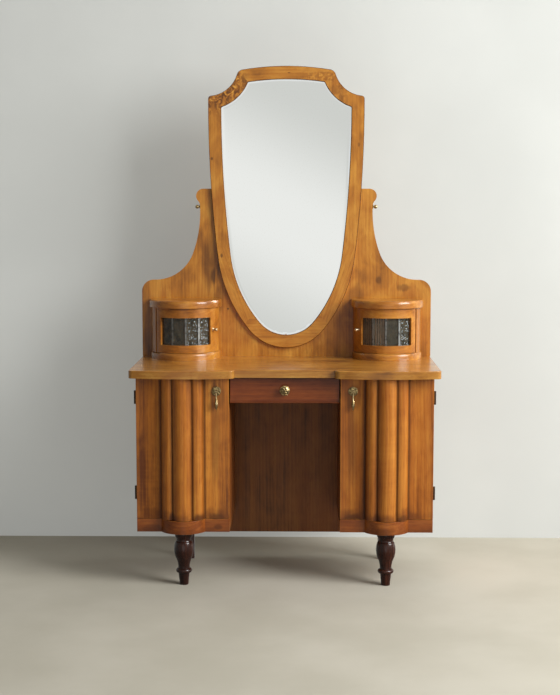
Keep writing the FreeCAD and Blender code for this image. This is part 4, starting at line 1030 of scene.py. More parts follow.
@dataclass(frozen=True)
class Flower:
    """A flower with a beaded rim, embossed on a round brass fitting.

    Attributes:
        bead_count: Beads round the rim.
        bead_radius: Radius of a bead.
        bead_circle: Radius of the ring of beads.
        petal_count: Petals of the flower inside the ring.
        petal_size: Half length, half width and half height of a petal.
        petal_circle: Radius that the petals lie on.
        eye_radius: Radius of the flower's eye.
        sight: How far in front of the fitting its face is looked for.
    """

    bead_count: int = 24
    bead_radius: float = 0.0015
    bead_circle: float = 0.0148
    petal_count: int = 6
    petal_size: Point = (0.0042, 0.0026, 0.0013)
    petal_circle: float = 0.0068
    eye_radius: float = 0.0026
    sight: float = 0.01

    def emboss(self, bm: bmesh.types.BMesh, middle: Vector) -> None:
        """Raises the flower on the front of a mesh.

        Args:
            bm: The fitting's mesh.
            middle: A point on the fitting's axis, in front of it.
        """
        face = BVHTree.FromBMesh(bm)
        long, wide, tall = self.petal_size
        ball = Matrix.Diagonal((self.bead_radius, self.bead_radius, self.bead_radius, 1.0))
        petal = Matrix.Diagonal((long, tall, wide, 1.0))
        rings = ((self.bead_count, self.bead_circle, ball), (self.petal_count, self.petal_circle, petal))
        for count, circle, shape in rings:
            for i in range(count):
                turn = 2 * math.pi * i / count
                spot = Matrix.Translation(self._on_face(face, middle, circle, turn))
                seat = spot @ Matrix.Rotation(-turn, 4, "Y")
                bmesh.ops.create_icosphere(bm, subdivisions=2, radius=1.0, matrix=seat @ shape)
        eye = Matrix.Translation(self._on_face(face, middle, 0.0, 0.0))
        bmesh.ops.create_icosphere(bm, subdivisions=2, radius=self.eye_radius, matrix=eye)

    @staticmethod
    def _on_face(face: BVHTree, middle: Vector, circle: float, turn: float) -> Vector:
        """The front of a fitting, at a distance from its axis and an angle round it."""
        start = middle + Vector((circle * math.cos(turn), 0.0, circle * math.sin(turn)))
        return face.ray_cast(start, Vector((0.0, 1.0, 0.0)))[0]


@dataclass
class SubAssembly:
    """Bench work that every sub-assembly shares.

    Attributes:
        edge_round: Width of the easing along a sharp edge.
    """

    edge_round: float = 0.0009

    def merged(self, node: str, band: Optional[Span] = None) -> bmesh.types.BMesh:
        """Copies a node's mesh, or a band of it, and joins its loose triangles.

        Args:
            node: The node.
            band: Distances from the table's middle between which the triangles are kept.

        Returns:
            The copy.
        """
        bm = bmesh.new()
        bm.from_mesh(frame["nodes"][node].data)
        if band is not None:
            beside = [f for f in bm.faces if not band[0] < abs(f.calc_center_median().x) < band[1]]
            bmesh.ops.delete(bm, geom=beside, context="FACES")
        bmesh.ops.remove_doubles(bm, verts=bm.verts, dist=MERGE_GAP)
        bmesh.ops.dissolve_limit(bm, angle_limit=FLAT_ANGLE, verts=bm.verts, edges=bm.edges)
        return bm

    def eased(self, node: str, band: Optional[Span] = None) -> bmesh.types.BMesh:
        """Copies a node, or a band of it, and eases its sharp outer edges, which it marks as worn.

        Args:
            node: The node.
            band: Distances from the table's middle between which it is copied.

        Returns:
            The eased copy.
        """
        bm = self.merged(node, band)
        worn = bm.faces.layers.float.new(WEAR_AND_SHADE_LAYER)
        sharp = [e for e in bm.edges if e.is_manifold and e.is_convex and e.calc_face_angle() > ARRIS_ANGLE]
        made = bmesh.ops.bevel(
            bm,
            geom=sharp,
            offset=self.edge_round,
            offset_type="OFFSET",
            affect="EDGES",
            segments=2,
            profile=0.5,
            material=-1,
            clamp_overlap=True,
        )
        for face in made["faces"]:
            face[worn] = 1.0
        return bm

    def place(
        self,
        bm: bmesh.types.BMesh,
        name: str,
        node: str,
        material: bpy.types.Material,
        slot: str,
    ) -> None:
        """Turns a mesh into a piece that stands for a node and rides on its body.

        Args:
            bm: The mesh, which is freed.
            name: The piece's name.
            node: The node that it stands for.
            material: Its finish.
            slot: The record's slot of that finish; not used.
        """
        for face in bm.faces:
            face.smooth = True
        for edge in bm.edges:
            edge.smooth = edge.is_manifold and edge.calc_face_angle() < SMOOTH_ANGLE
        mesh = bpy.data.meshes.new(name)
        bm.to_mesh(mesh)
        bm.free()
        mesh.materials.append(material)
        piece = bpy.data.objects.new(name, mesh)
        bpy.context.scene.collection.objects.link(piece)
        even = piece.modifiers.new("even_shading", "WEIGHTED_NORMAL")
        even.keep_sharp = True
        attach(piece, frame["nodes"][node]["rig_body"])
        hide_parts(node)
        LOG.info("%s: %d faces for %s", name, len(mesh.polygons), node)

    def board(self, node: str, finish: WoodFinish, cut: Cut) -> None:
        """Dresses a wooden node with an eased copy."""
        wood = finish.material(node, cut)
        self.place(self.eased(node), f"{node}_polished", node, wood, finish.slot)

    def cast(self, node: str, finish: MetalFinish) -> None:
        """Dresses a metal node with a merged copy."""
        self.place(self.merged(node), f"{node}_cast", node, finish.material(node), finish.slot)

    def emboss(self, node: str, finish: MetalFinish, flower: Flower) -> None:
        """Dresses a round fitting with a merged copy that carries a flower.

        Args:
            node: The node.
            finish: Its metal.
            flower: The flower on its front.
        """
        bm = self.merged(node)
        low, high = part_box(node)
        flower.emboss(bm, Vector(((low.x + high.x) / 2, low.y - flower.sight, (low.z + high.z) / 2)))
        self.place(bm, f"{node}_embossed", node, finish.material(node), finish.slot)


@dataclass
class Carcass(SubAssembly):
    """The two pedestals, the kneehole back and the runners between them.

    Attributes:
        inner_shade: Painted shade in the kneehole: how far its sides lean to the dark red side, 0 to 1.
        plinth_shade: How far the plinths do.
        plinth_darker_foot: Heights between which the plinths darken.
        plinth_knots: Dark figure in the plinths.
    """

    inner_shade: float = 0.9
    plinth_shade: float = 0.85
    plinth_darker_foot: Span = (0.178, 0.225)
    plinth_knots: tuple[Knot, ...] = (
        Knot((-0.228, -0.17, 0.205), (0.020, 0.06, 0.013), 0.6, 0.7),
        Knot((-0.455, -0.17, 0.200), (0.040, 0.06, 0.020), 0.4, 0.7),
        Knot((0.335, -0.22, 0.198), (0.045, 0.06, 0.016), 0.35, 0.7),
    )

    def build(self) -> None:
        """Dresses the fixed boards below the top."""
        for side in Side:
            name = side.value
            seed = 3 + side.sign
            self.board(f"{name}_outer_side", HONEY, Cut(Grain.UPRIGHT, seed))
            # Painted shade in the kneehole: its sides take the dark panel wood, darkened further by
            # inner_shade.
            self.board(f"{name}_inner_side", DARK_PANEL, Cut(Grain.UPRIGHT, seed, shade=self.inner_shade))
            plinth = Cut(Grain.LEVEL, seed + 6, self.plinth_darker_foot, (), self.plinth_shade, self.plinth_knots)
            self.board(f"{name}_plinth", PLINTH, plinth)
            self.board(f"{name}_back_panel", INNER, Cut(Grain.UPRIGHT, seed + 6))
            self.board(f"{name}_bottom_board", INNER, Cut(Grain.LEVEL, seed + 6))
        self.board("kneehole_back", DARK_PANEL, Cut(Grain.UPRIGHT, seed=5))
        self.board("pedestal_shelves", INNER, Cut(Grain.LEVEL, seed=7))
        self.board("drawer_runners", INNER, Cut(Grain.DEEP, seed=8))


@dataclass
class Legs(SubAssembly):
    """Two turned front legs and two square rear legs."""

    def build(self) -> None:
        """Dresses the legs in a dark stained finish."""
        for side in Side:
            self.board(f"{side.value}_front_leg", DARK_LEG, Cut(Grain.UPRIGHT, seed=2 + side.sign))
        self.board("rear_legs", DARK_LEG, Cut(Grain.UPRIGHT, seed=6))


@dataclass
class TableTop(SubAssembly):
    """The swelled top board.

    Attributes:
        edge_round: Width of the easing along a sharp edge.
        edge_shade: How much painted shade, dark and dull, lies on the upright edge, 0 to 1.
        edge_slant: Share of its normal up or down below which a face counts as that edge.
    """

    edge_round: float = 0.0012
    edge_shade: float = 0.25
    edge_slant: float = 0.5

    def build(self) -> None:
        """Dresses the top, with painted shade making its upright edge darker and duller all round."""
        bm = self.eased("table_top")
        worn = bm.faces.layers.float[WEAR_AND_SHADE_LAYER]
        # Painted shade: the upright edge takes a share of the dark, dull layer.
        for face in bm.faces:
            face[worn] = self.edge_shade if abs(face.normal.z) < self.edge_slant else 0.0
        wood = TOP.material("table_top", Cut(Grain.LEVEL, seed=1, dark_edges=True))
        self.place(bm, "table_top_polished", "table_top", wood, TOP.slot)


@dataclass
class PedestalDoor(SubAssembly):
    """A reeded door with its hinges and its swinging brass drop.

    Attributes:
        side: The half of the table that it closes.
        shade: Painted shade: how far the door leans to the dark red side, 0 to 1.
        end_slant: Share of its normal up or down from which a face counts as the end of a reed.
        door_darker_foot: Heights between which the foot of the door darkens.
        reed_middle: Distance of the middle reed from the table's middle.
        valley_offsets: Distances of the valleys from there.
        pull_middle: Distance of the pull from the table's middle.
        dirt: Dirt and stains, each with the distance from the table's middle that it is placed from.
        flower: The flower on the rosette.
    """

    side: Side = Side.LEFT
    shade: float = 0.0
    end_slant: float = 0.3
    door_darker_foot: Span = (0.230, 0.280)
    reed_middle: float = 0.348
    valley_offsets: tuple[float, ...] = (-0.0745, -0.0335, 0.0335, 0.0745)
    pull_middle: float = 0.232
    dirt: tuple[tuple[float, Knot], ...] = (
        (pull_middle, Knot((0.0, -0.182, 0.658), (0.034, 0.04, 0.052), 0.45)),
        (pull_middle, Knot((-0.004, -0.182, 0.518), (0.018, 0.04, 0.24), 0.42)),
        (reed_middle, Knot((-0.034, -0.202, 0.235), (0.016, 0.06, 0.034), 0.7, 0.5)),
        (reed_middle, Knot((0.056, -0.202, 0.238), (0.026, 0.06, 0.022), 0.6, 0.5)),
        (pull_middle, Knot((0.0, -0.182, 0.234), (0.040, 0.04, 0.026), 0.65, 0.5)),
    )
    flower: Flower = Flower(
        bead_count=20,
        bead_radius=0.0013,
        bead_circle=0.0138,
        petal_count=8,
        petal_size=(0.0030, 0.0019, 0.0008),
        petal_circle=0.0098,
        eye_radius=0.001,
    )

    def build(self) -> None:
        """Dresses the door, its reeds and its fittings."""
        name = self.side.value
        sign = self.side.sign
        dirt = tuple(knot.moved(sign * out) for out, knot in self.dirt)
        valleys = tuple(self.reed_middle + offset for offset in self.valley_offsets)
        cut = Cut(Grain.UPRIGHT, 12 + sign, self.door_darker_foot, valleys, self.shade, dirt)
        self.board(f"{name}_door", HONEY, cut)
        self.reeds(cut)
        self.cast(f"{name}_hinge_door_leaves", IRON)
        self.cast(f"{name}_hinge_fixed_leaves", IRON)
        self.cast(f"{name}_drop_pull", HANDLED_BRASS)
        self.emboss(f"{name}_pull_rosette", OLD_BRASS, self.flower)

    def reeds(self, cut: Cut) -> None:
        """Dresses the three reeds one by one, worn at their ends and darkened in the valleys by dirt and
        painted shade.

        Args:
            cut: How the door is cut.
        """
        node = f"{self.side.value}_door_reeds"
        wood = HONEY.material(node, cut)
        for i, band in enumerate(zip(cut.valleys, cut.valleys[1:]), 1):
            bm = self.eased(node, band)
            worn = bm.faces.layers.float[WEAR_AND_SHADE_LAYER]
            for face in bm.faces:
                if abs(face.normal.z) < self.end_slant:
                    face[worn] = 0.0
            self.place(bm, f"{self.side.value}_door_reed_{i}_polished", node, wood, HONEY.slot)


@dataclass
class Drawer(SubAssembly):
    """The kneehole drawer with its embossed knob.

    Attributes:
        flower: The flower on the knob.
    """

    flower: Flower = Flower()

    def build(self) -> None:
        """Dresses the box, the front and the knob."""
        self.board("drawer_front", RED_BROWN, Cut(Grain.LEVEL, seed=2))
        self.board("drawer_bead", RED_BROWN, Cut(Grain.LEVEL, seed=4))
        self.board("drawer_sides", INNER, Cut(Grain.DEEP, seed=3))
        self.board("drawer_back", INNER, Cut(Grain.LEVEL, seed=5))
        self.board("drawer_bottom", INNER, Cut(Grain.DEEP, seed=9))
        self.emboss("drawer_knob", BRASS, self.flower)


@dataclass
class BackBoards(SubAssembly):
    """The two wings and the rail between them, which carry the mirror.

    Attributes:
        mirror_depth: Depth of the mirror frame's middle.
        mirror_gap: Widest gap between the boards and that frame.
        shown_gap: How much of that gap is left open, so that no light shines through it.
        knots_and_painted_shadows: Knot marks and dark streaks, and painted shadows of the mirror frame and
            the left cabinet on the left wing.
    """

    mirror_depth: float = 0.228
    mirror_gap: float = 0.0052
    shown_gap: float = 0.0008
    knots_and_painted_shadows: tuple[Knot, ...] = (
        Knot((-0.268, 0.22, 1.045), (0.012, 0.03, 0.040), 0.75),
        # The next two are painted shadows of the mirror frame on the left wing.
        Knot((-0.280, 0.22, 1.090), (0.034, 0.03, 0.130), 0.5),
        Knot((-0.250, 0.22, 0.955), (0.026, 0.03, 0.060), 0.35),
        # Painted shadow of the left cabinet on the wing beside it.
        Knot((-0.505, 0.22, 0.85), (0.022, 0.03, 0.10), 0.35),
        Knot((0.335, 0.22, 1.030), (0.014, 0.03, 0.022), 0.6),
        Knot((0.262, 0.22, 0.98), (0.022, 0.03, 0.050), 0.3),
        Knot((0.432, 0.22, 1.003), (0.030, 0.03, 0.016), 0.45),
        Knot((-0.213, 0.22, 0.925), (0.005, 0.03, 0.005), 0.8),
    )

    def build(self) -> None:
        """Dresses the boards as one plank, so that no seam shows."""
        cut = Cut(Grain.UPRIGHT, seed=21, knots_and_painted_shadows=self.knots_and_painted_shadows)
        mirror = self.merged("mirror_frame")
        shield = BVHTree.FromBMesh(mirror)
        mirror.free()
        for node in ("left_wing", "right_wing", "back_rail"):
            bm = self.eased(node)
            self.close_up(bm, shield)
            self.place(bm, f"{node}_polished", node, GOLDEN.material(node, cut), GOLDEN.slot)
        for slot in frame["nodes"]["wing_dowels"].material_slots:
            slot.material = INNER.material("wing_dowels", Cut(Grain.UPRIGHT, seed=22))
        LOG.info("wing_dowels: stay as built")

    def close_up(self, bm: bmesh.types.BMesh, shield: BVHTree) -> None:
        """Brings the inner edge of a board up to the mirror frame.

        Args:
            bm: The board's mesh.
            shield: The frame's surface.
        """
        for vert in bm.verts:
            spot = Vector((vert.co.x, self.mirror_depth, vert.co.z))
            nearest, _, _, distance = shield.find_nearest(spot, self.mirror_gap)
            if nearest is not None and distance > self.shown_gap:
                step = (nearest - spot) * (1 - self.shown_gap / distance)
                vert.co += Vector((step.x, 0.0, step.z))


@dataclass
class GlazedCabinet(SubAssembly):
    """A quarter-drum cabinet with a curved door of four leaded panes.

    Attributes:
        side: The half of the table that it stands on.
        textures: Pane patterns from left to right.
        pane_turn: Angle between two panes, seen from above.
        window_turn: How far the window looks towards the mirror.
        half_width: Distance of the drum's axis from the table's middle.
        axis_depth: Depth of that axis.
        seat_gap: Room left between a pane and its rebate.
        relief: Height of the rolled pattern.
        grid: Width of a mesh cell of hammered and plain glass.
        flute: Width of a reed in the glass.
        flute_cells: Mesh cells across a reed.
        flute_rows: Mesh cells up a reed.
        flute_glint_fall: How fast a reed's painted glint fades away from its crest.
        dimple: Width of a hammered dimple.
        dimple_height: Least height of a dimple and how much higher others are, as shares of the relief.
        dimple_pick: Spreads the picks of those heights.
        dimple_fall: How fast a dimple falls off from its middle.
        dimple_glint: Depth above which a dimple carries a painted glint, and how fast the glint grows above
            that.
        wave: Middle and swing of plain glass, as shares of the relief, and its waves per metre.
        moulding: How far the rounding along the cornice and the base goes in and down.
        cornice_round: Radius that the cornice's upper edge is built with.
        base_round: Radius that the base's upper edge is built with.
        shade: Painted shade: how far the case leans to the dark red side, 0 to 1.
    """

    side: Side = Side.LEFT
    textures: tuple[PaneTexture, ...] = ()
    pane_turn: float = math.radians(24.5)
    window_turn: float = math.radians(5.0)
    half_width: float = 0.367
    axis_depth: float = 0.192
    seat_gap: float = 0.0004
    relief: float = 0.0011
    grid: float = 0.0009
    flute: float = 0.0088
    flute_cells: int = 8
    flute_rows: int = 2
    flute_glint_fall: float = 3.0
    dimple: float = 0.0054
    dimple_height: Span = (0.62, 0.38)
    dimple_pick: float = 7.3
    dimple_fall: float = 1.9
    dimple_glint: Span = (0.78, 2.6)
    wave: Point = (0.5, 0.3, 55.0)
    moulding: Span = (0.006, 0.012)
    cornice_round: float = 0.003
    base_round: float = 0.002
    shade: float = 0.38

    def build(self) -> None:
        """Dresses the case, the door and its panes."""
        name = self.side.value
        seed = 31 + 2 * self.side.sign
        self.mould(f"{name}_cabinet_base", Cut(Grain.LEVEL, seed), self.base_round)
        # The cornice, posts and door carry the case's painted shade; the base does not.
        cornice = Cut(Grain.LEVEL, seed + 1, shade=self.shade)
        self.mould(f"{name}_cabinet_cornice", cornice, self.cornice_round)
        self.board(f"{name}_cabinet_posts", GOLDEN, Cut(Grain.UPRIGHT, seed, shade=self.shade))
        self.board(f"{name}_cabinet_door", GOLDEN, Cut(Grain.LEVEL, seed + 2, shade=self.shade))
        self.cast(f"{name}_cabinet_cames", LEAD)
        self.cast(f"{name}_cabinet_knob", RUBBED_BRASS)
        self.cast(f"{name}_cabinet_pins", IRON)
        self.panes()

    def mould(self, node: str, cut: Cut, built_round: float) -> None:
        """Dresses a cornice or base, its upper edge rubbed down to a fuller moulding.

        Args:
            node: The node.
            cut: How it is cut.
            built_round: Radius that its upper edge is built with.
        """
        bm = self.eased(node)
        low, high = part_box(node)
        inward, down = (reach / built_round for reach in self.moulding)
        axis = Vector(((low.x + high.x) / 2, self.axis_depth, 0.0))
        for vert in bm.verts:
            ray = Vector((vert.co.x - axis.x, min(0.0, vert.co.y - axis.y), 0.0))
            inset = (high.x - low.x) / 2 - ray.length
            drop = high.z - vert.co.z
            if max(inset, drop) < built_round + ROUND_SLACK:
                vert.co -= ray.normalized() * inset * (inward - 1)
                vert.co.z = high.z - drop * down
        self.place(bm, f"{node}_polished", node, MOULDING.material(node, cut), MOULDING.slot)

    def panes(self) -> None:
        """Rolls the four panes, with their pattern as real relief."""
        node = f"{self.side.value}_cabinet_panes"
        for i, texture in enumerate(self.textures):
            turn = (i - (len(self.textures) - 1) / 2) * self.pane_turn - self.side.sign * self.window_turn
            name = f"{self.side.value}_pane_{i + 1}_{texture.value}"
            glass = FLUTED if texture is PaneTexture.REEDED else GLASS
            self.place(self.pane(node, texture, turn), name, node, glass.material(name), glass.slot)

    def pane(self, node: str, texture: PaneTexture, turn: float) -> bmesh.types.BMesh:
        """Makes one pane in the place of its plain one.

        Args:
            node: The node that holds the plain panes.
            texture: The pane's pattern.
            turn: Its angle from the cabinet's front, seen from above.

        Returns:
            The pane.
        """
        axis = Vector((self.side.sign * self.half_width, self.axis_depth, 0.0))
        swing = Matrix.Translation(axis) @ Matrix.Rotation(turn, 4, "Z") @ Matrix.Translation(-axis)
        low, high = self._room(node, swing.inverted(), axis.x)
        wide, tall = high.x - low.x - 2 * self.seat_gap, high.z - low.z
        columns, rows = round(wide / self.grid), round(tall / self.grid)
        if texture is PaneTexture.REEDED:
            columns, rows = round(wide / self.flute) * self.flute_cells, self.flute_rows
        bm = bmesh.new()
        bmesh.ops.create_grid(bm, x_segments=columns, y_segments=rows, size=0.5)
        stand = Matrix.Rotation(QUARTER, 4, "X") @ Matrix.Diagonal((wide, tall, 1.0, 1.0))
        seat = Matrix.Translation((axis.x, low.y, (low.z + high.z) / 2))
        bmesh.ops.transform(bm, matrix=seat @ stand, verts=bm.verts)
        crest = bm.verts.layers.float.new(CREST_LAYER)
        for vert in bm.verts:
            hollow = self._hollow(texture, vert.co - axis)
            vert.co.y += self.relief * hollow
            vert[crest] = self._glint_at(texture, hollow)
        rim = [edge for edge in bm.edges if edge.is_boundary]
        walls = bmesh.ops.extrude_edge_only(bm, edges=rim)["geom"]
        for vert in (v for v in walls if isinstance(v, bmesh.types.BMVert)):
            vert.co.y = high.y
        bmesh.ops.holes_fill(bm, edges=[e for e in walls if isinstance(e, bmesh.types.BMEdge)])
        bmesh.ops.recalc_face_normals(bm, faces=bm.faces)
        bmesh.ops.transform(bm, matrix=swing, verts=bm.verts)
        return bm

    def _room(self, node: str, back: Matrix, axis_x: float) -> tuple[Vector, Vector]:
        """Measures the plain pane that a turn brings to the front.

        Args:
            node: The node that holds the plain panes.
            back: The turn that brings the pane square to the front.
            axis_x: Side position of the drum's axis.

        Returns:
            Lowest and highest corner of the pane, square to the front.
        """
        reach = self.pane_turn / 2
        spots = [back @ v.co for v in frame["nodes"][node].data.vertices]
        bearing = [math.atan2(s.x - axis_x, self.axis_depth - s.y) for s in spots]
        own = [s for s, angle in zip(spots, bearing) if abs(angle) < reach]
        low = Vector(min(s[k] for s in own) for k in range(3))
        high = Vector(max(s[k] for s in own) for k in range(3))
        return low, high

    def _hollow(self, texture: PaneTexture, spot: Vector) -> float:
        """How deep the pattern is at a place of the pane.

        Args:
            texture: The pattern.
            spot: The place, measured from the drum's axis.

        Returns:
            The depth, 0 to 1.
        """
        if texture is PaneTexture.REEDED:
            return 1.0 - abs(math.sin(math.pi * spot.x / self.flute))
        if texture is PaneTexture.HAMMERED:
            distances, centres = noise.voronoi(Vector((spot.x, 0.0, spot.z)) / self.dimple)
            least, more = self.dimple_height
            height = least + more * abs(noise.cell(centres[0] * self.dimple_pick))
            return 1.0 - height * max(0.0, 1.0 - self.dimple_fall * distances[0])
        middle, swing, waves = self.wave
        return middle + swing * noise.noise(spot * waves)

    def _glint_at(self, texture: PaneTexture, hollow: float) -> float:
        """How much painted glint the top of the pattern carries.

        Args:
            texture: The pattern.
            hollow: The depth of the pattern at that place, 0 to 1.

        Returns:
            The glint, 0 to 1.
        """
        if texture is PaneTexture.REEDED:
            return max(0.0, 1.0 - self.flute_glint_fall * hollow)
        if texture is PaneTexture.HAMMERED:
            edge, rise = self.dimple_glint
            return min(1.0, rise * max(0.0, edge - hollow))
        return 0.0


@dataclass
class ShieldMirror(SubAssembly):
    """The shield-shaped mirror: frame, bevelled glass and backing board.

    Attributes:
        face_slant: Share of its normal towards the front below which a face counts as the frame's edge.
        bevel_share: How much of the glass's bevel shows.
        rim_gap: How far the back of the glass lies behind the rim of the bevel, at least.
        burls: Wild figure in the upper corners of the frame.
        knots_and_painted_shadows: Knots of the frame.
    """

    face_slant: float = 0.97
    bevel_share: float = 0.5
    rim_gap: float = 0.0005
    burls: tuple[Knot, ...] = (
        Knot((-0.224, 0.208, 1.726), (0.105, 0.02, 0.105), 0.8),
        Knot((0.125, 0.208, 1.763), (0.080, 0.02, 0.026), 0.32),
        Knot((0.190, 0.208, 1.703), (0.040, 0.02, 0.050), 0.28),
    )
    knots_and_painted_shadows: tuple[Knot, ...] = (
        Knot((-0.268, 0.21, 1.47), (0.005, 0.03, 0.008), 0.8),
        Knot((-0.235, 0.21, 1.12), (0.006, 0.03, 0.010), 0.7),
        Knot((0.262, 0.21, 1.52), (0.006, 0.03, 0.010), 0.5),
        Knot((0.01, 0.21, 1.776), (0.006, 0.03, 0.003), 0.6),
    )

    def build(self) -> None:
        """Dresses the frame, the glass and the back."""
        self.shield("mirror_frame")
        silver = SILVER.material("mirror_glass")
        self.place(self.glass(), "mirror_glass_silvered", "mirror_glass", silver, SILVER.slot)
        self.board("mirror_backing", INNER, Cut(Grain.UPRIGHT, seed=42))

    def shield(self, node: str) -> None:
        """Dresses the frame, with painted shade, dark and dull, on the slanting faces of its front.

        Args:
            node: The frame's node.
        """
        bm = self.eased(node)
        worn = bm.faces.layers.float[WEAR_AND_SHADE_LAYER]
        # Painted shade: the slanting faces of the front take the dark, dull layer.
        for face in bm.faces:
            if -self.face_slant < face.normal.y < 0.0:
                face[worn] = 1.0
        cut = Cut(Grain.SHIELD, seed=41, knots_and_painted_shadows=self.knots_and_painted_shadows, burls=self.burls, dark_edges=True)
        self.place(bm, f"{node}_polished", node, GOLDEN.material(node, cut), GOLDEN.slot)

    def glass(self) -> bmesh.types.BMesh:
        """Copies the glass with the bevel that the eye sees, which the glass itself makes look flatter.

        Returns:
            The copy.
        """
        bm = self.merged("mirror_glass")
        low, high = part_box("mirror_glass")
        for vert in bm.verts:
            if vert.co.y < high.y - self.rim_gap:
                vert.co.y = low.y + (vert.co.y - low.y) * self.bevel_share
        return bm


@dataclass
class Thumbscrews(SubAssembly):
    """The two screws that the mirror tilts on."""

    def build(self) -> None:
        """Dresses the screws."""
        for side in Side:
            self.cast(f"{side.value}_pivot_screw", BRASS)


@dataclass(frozen=True)
class Lamp:
    """A soft lamp.

    Attributes:
        name: Its name.
        place: Where it hangs.
        target: What it points at.
        size: Its width and height.
        power: Its power in watts.
    """

    name: str
    place: Point
    target: Point
    size: Span
    power: float

    def hang(self) -> None:
        """Puts the lamp up."""
        data = bpy.data.lights.new(self.name, "AREA")
        data.shape = "RECTANGLE"
        data.size, data.size_y = self.size
        data.energy = self.power
        lamp = bpy.data.objects.new(self.name, data)
        bpy.context.scene.collection.objects.link(lamp)
        lamp.location = self.place
        lamp.rotation_euler = (Vector(self.target) - Vector(self.place)).to_track_quat("-Z", "Y").to_euler()


@dataclass(frozen=True)
class PaleRoom:
    """The plain room that the eye, the mirror and the gloss see, and its soft light.

    Directions are taken from the table: across to the right, ahead to the wall behind it, and up.

    Attributes:
        band_slope: How far the bright band before the mirror drops to the right.
        band_level: How far below the mirror's own level the band lies.
        band_fade: Distances from the band's middle between which it shows.
        dim: Colour beside the band.
        bright: Colour of the band.
        rim_fade: Directions ahead between which the rim gives way to the band.
        rim: Colour that the bevel of the mirror meets.
        front_fade: Directions ahead between which the rest of the room gives way to the rim.
        walls: Colour of the rest of the room.
        ground: Colour of its lower part.
        ground_fade: Directions up between which the lower part begins.
        light_from: Direction that the soft light comes from.
        shadow: Light from the other side.
        light: Light from that direction.
    """

    band_slope: float = 0.49
    band_level: float = 0.0225
    band_fade: Span = (0.095, 0.01)
    dim: Colour = (0.65, 0.66, 0.64)
    bright: Colour = (0.87, 0.875, 0.86)
    rim_fade: Span = (-0.989, -0.9945)
    rim: Colour = (0.81, 0.83, 0.835)
    front_fade: Span = (-0.955, -0.972)
    walls: Colour = (0.27, 0.27, 0.26)
    ground: Colour = (0.14, 0.13, 0.115)
    ground_fade: Span = (-0.15, -0.4)
    light_from: Point = (0.65, -0.5, 0.57)
    shadow: Colour = (0.025, 0.025, 0.025)
    light: Colour = (0.80, 0.79, 0.77)

    def build(self) -> None:
        """Puts the room round the scene."""
        world = bpy.data.worlds.new("pale_room")
        world.use_nodes = True
        bpy.context.scene.world = world
        board = NodeBoard(world.node_tree)
        bearing = board.node("ShaderNodeTexCoord", output="Generated")
        across, ahead, up = (bearing.part(axis) for axis in "XYZ")
        band = abs(up + across * self.band_slope + self.band_level).step(*self.band_fade)
        front = board.blend(ahead.step(*self.rim_fade), self.rim, board.blend(band, self.dim, self.bright))
        rest = board.blend(up.step(*self.ground_fade), self.walls, self.ground)
        room = board.blend(ahead.step(*self.front_fade), rest, front)
        right, back, high = self.light_from
        toward = (across * right + ahead * back + up * high).larger(0.0)
        fill = board.blend(toward * toward, self.shadow, self.light)
        colour = board.blend(board.seen(), fill, room)
        sky = board.node("ShaderNodeBackground", inputs={"Color": colour, "Strength": 1.0})
        board.node("ShaderNodeOutputWorld", inputs={"Surface": sky})


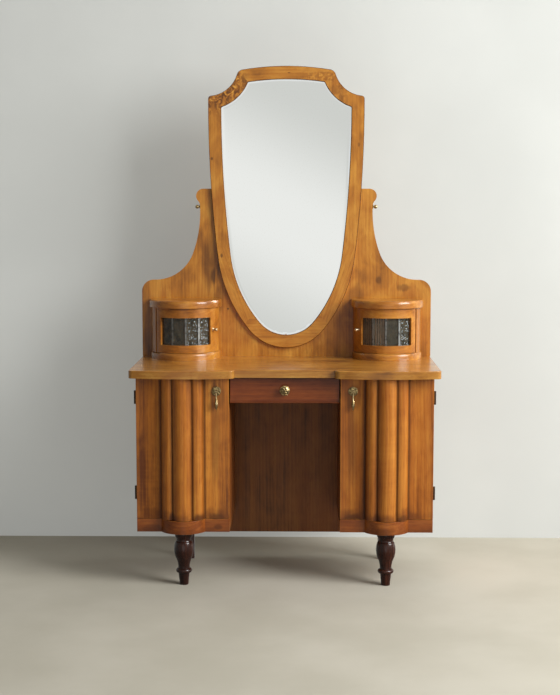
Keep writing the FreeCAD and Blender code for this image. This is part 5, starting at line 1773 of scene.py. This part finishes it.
@dataclass
class Studio:
    """Camera, soft light and plain pale surroundings.

    Attributes:
        camera_place: Where the camera stands.
        camera_pitch: How far it looks down.
        camera_yaw: How far it looks to the right.
        focal_pixels: Focal length in pixels of the picture.
        picture_height: Height of the picture in pixels.
        sensor: Size of the sensor's long side, in millimetres.
        wall_depth: Where the wall stands behind the table.
        floor_reach: How far floor and wall reach to each side.
        wall_height: Height of the wall.
        room: What is seen beyond floor and wall.
        lamps: The lamps.
    """

    camera_place: Point = (0.0665, -4.8914, 1.3245)
    camera_pitch: float = math.radians(6.051)
    camera_yaw: float = math.radians(-1.002)
    focal_pixels: float = 1400.0
    picture_height: float = 695.0
    sensor: float = 36.0
    wall_depth: float = 0.52
    floor_reach: float = 7.0
    wall_height: float = 5.0
    room: PaleRoom = PaleRoom()
    lamps: tuple[Lamp, ...] = (
        Lamp("window", (3.5, -2.05, 2.7), (0.0, 0.1, 0.95), (2.4, 2.8), 268.0),
        Lamp("behind", (0.3, 2.4, 4.2), (0.0, 0.2, 0.9), (2.6, 2.6), 14.0),
    )

    def build(self) -> None:
        """Sets up everything around the table."""
        bpy.context.scene.view_settings.view_transform = "Standard"
        self.camera()
        for lamp in self.lamps:
            lamp.hang()
        self.room.build()
        self.floor_and_wall()

    def camera(self) -> None:
        """Puts the camera where the photograph was taken from."""
        data = bpy.data.cameras.new("view_camera")
        data.sensor_width = self.sensor
        data.lens = self.focal_pixels / self.picture_height * self.sensor
        camera = bpy.data.objects.new("view_camera", data)
        bpy.context.scene.collection.objects.link(camera)
        ahead = Vector((
            math.sin(self.camera_yaw) * math.cos(self.camera_pitch),
            math.cos(self.camera_yaw) * math.cos(self.camera_pitch),
            -math.sin(self.camera_pitch),
        ))
        camera.location = self.camera_place
        camera.rotation_euler = ahead.to_track_quat("-Z", "Y").to_euler()
        bpy.context.scene.camera = camera

    def floor_and_wall(self) -> None:
        """Lays the floor and puts the wall up."""
        low = Matrix.Diagonal((self.floor_reach, self.floor_reach, 1.0, 1.0))
        upright = (
            Matrix.Translation((0.0, self.wall_depth, self.wall_height / 2))
            @ Matrix.Rotation(QUARTER, 4, "X")
            @ Matrix.Diagonal((self.floor_reach, self.wall_height / 2, 1.0, 1.0))
        )
        for name, seat, finish in (("floor", low, SCREED), ("wall", upright, PLASTER)):
            bm = bmesh.new()
            bmesh.ops.create_grid(bm, x_segments=1, y_segments=1, size=1.0, matrix=seat)
            mesh = bpy.data.meshes.new(name)
            bm.to_mesh(mesh)
            bm.free()
            mesh.materials.append(finish.material())
            stage = bpy.data.objects.new(name, mesh)
            bpy.context.scene.collection.objects.link(stage)
            stage.visible_glossy = name != "floor"


def main() -> None:
    """Builds the sub-assemblies in order."""
    logging.basicConfig(level=logging.INFO, format="%(message)s")
    hammered, reeded, plain = PaneTexture.HAMMERED, PaneTexture.REEDED, PaneTexture.PLAIN
    Studio().build()
    for assembly in (
        Carcass(),
        Legs(),
        TableTop(),
        PedestalDoor(side=Side.LEFT),
        # The right door is darkened with painted shade.
        PedestalDoor(side=Side.RIGHT, shade=0.45),
        Drawer(),
        BackBoards(),
        GlazedCabinet(side=Side.LEFT, textures=(plain, plain, hammered, hammered)),
        GlazedCabinet(side=Side.RIGHT, textures=(reeded, reeded, plain, hammered)),
        ShieldMirror(),
        Thumbscrews(),
    ):
        assembly.build()


if __name__ == "__main__":
    main()
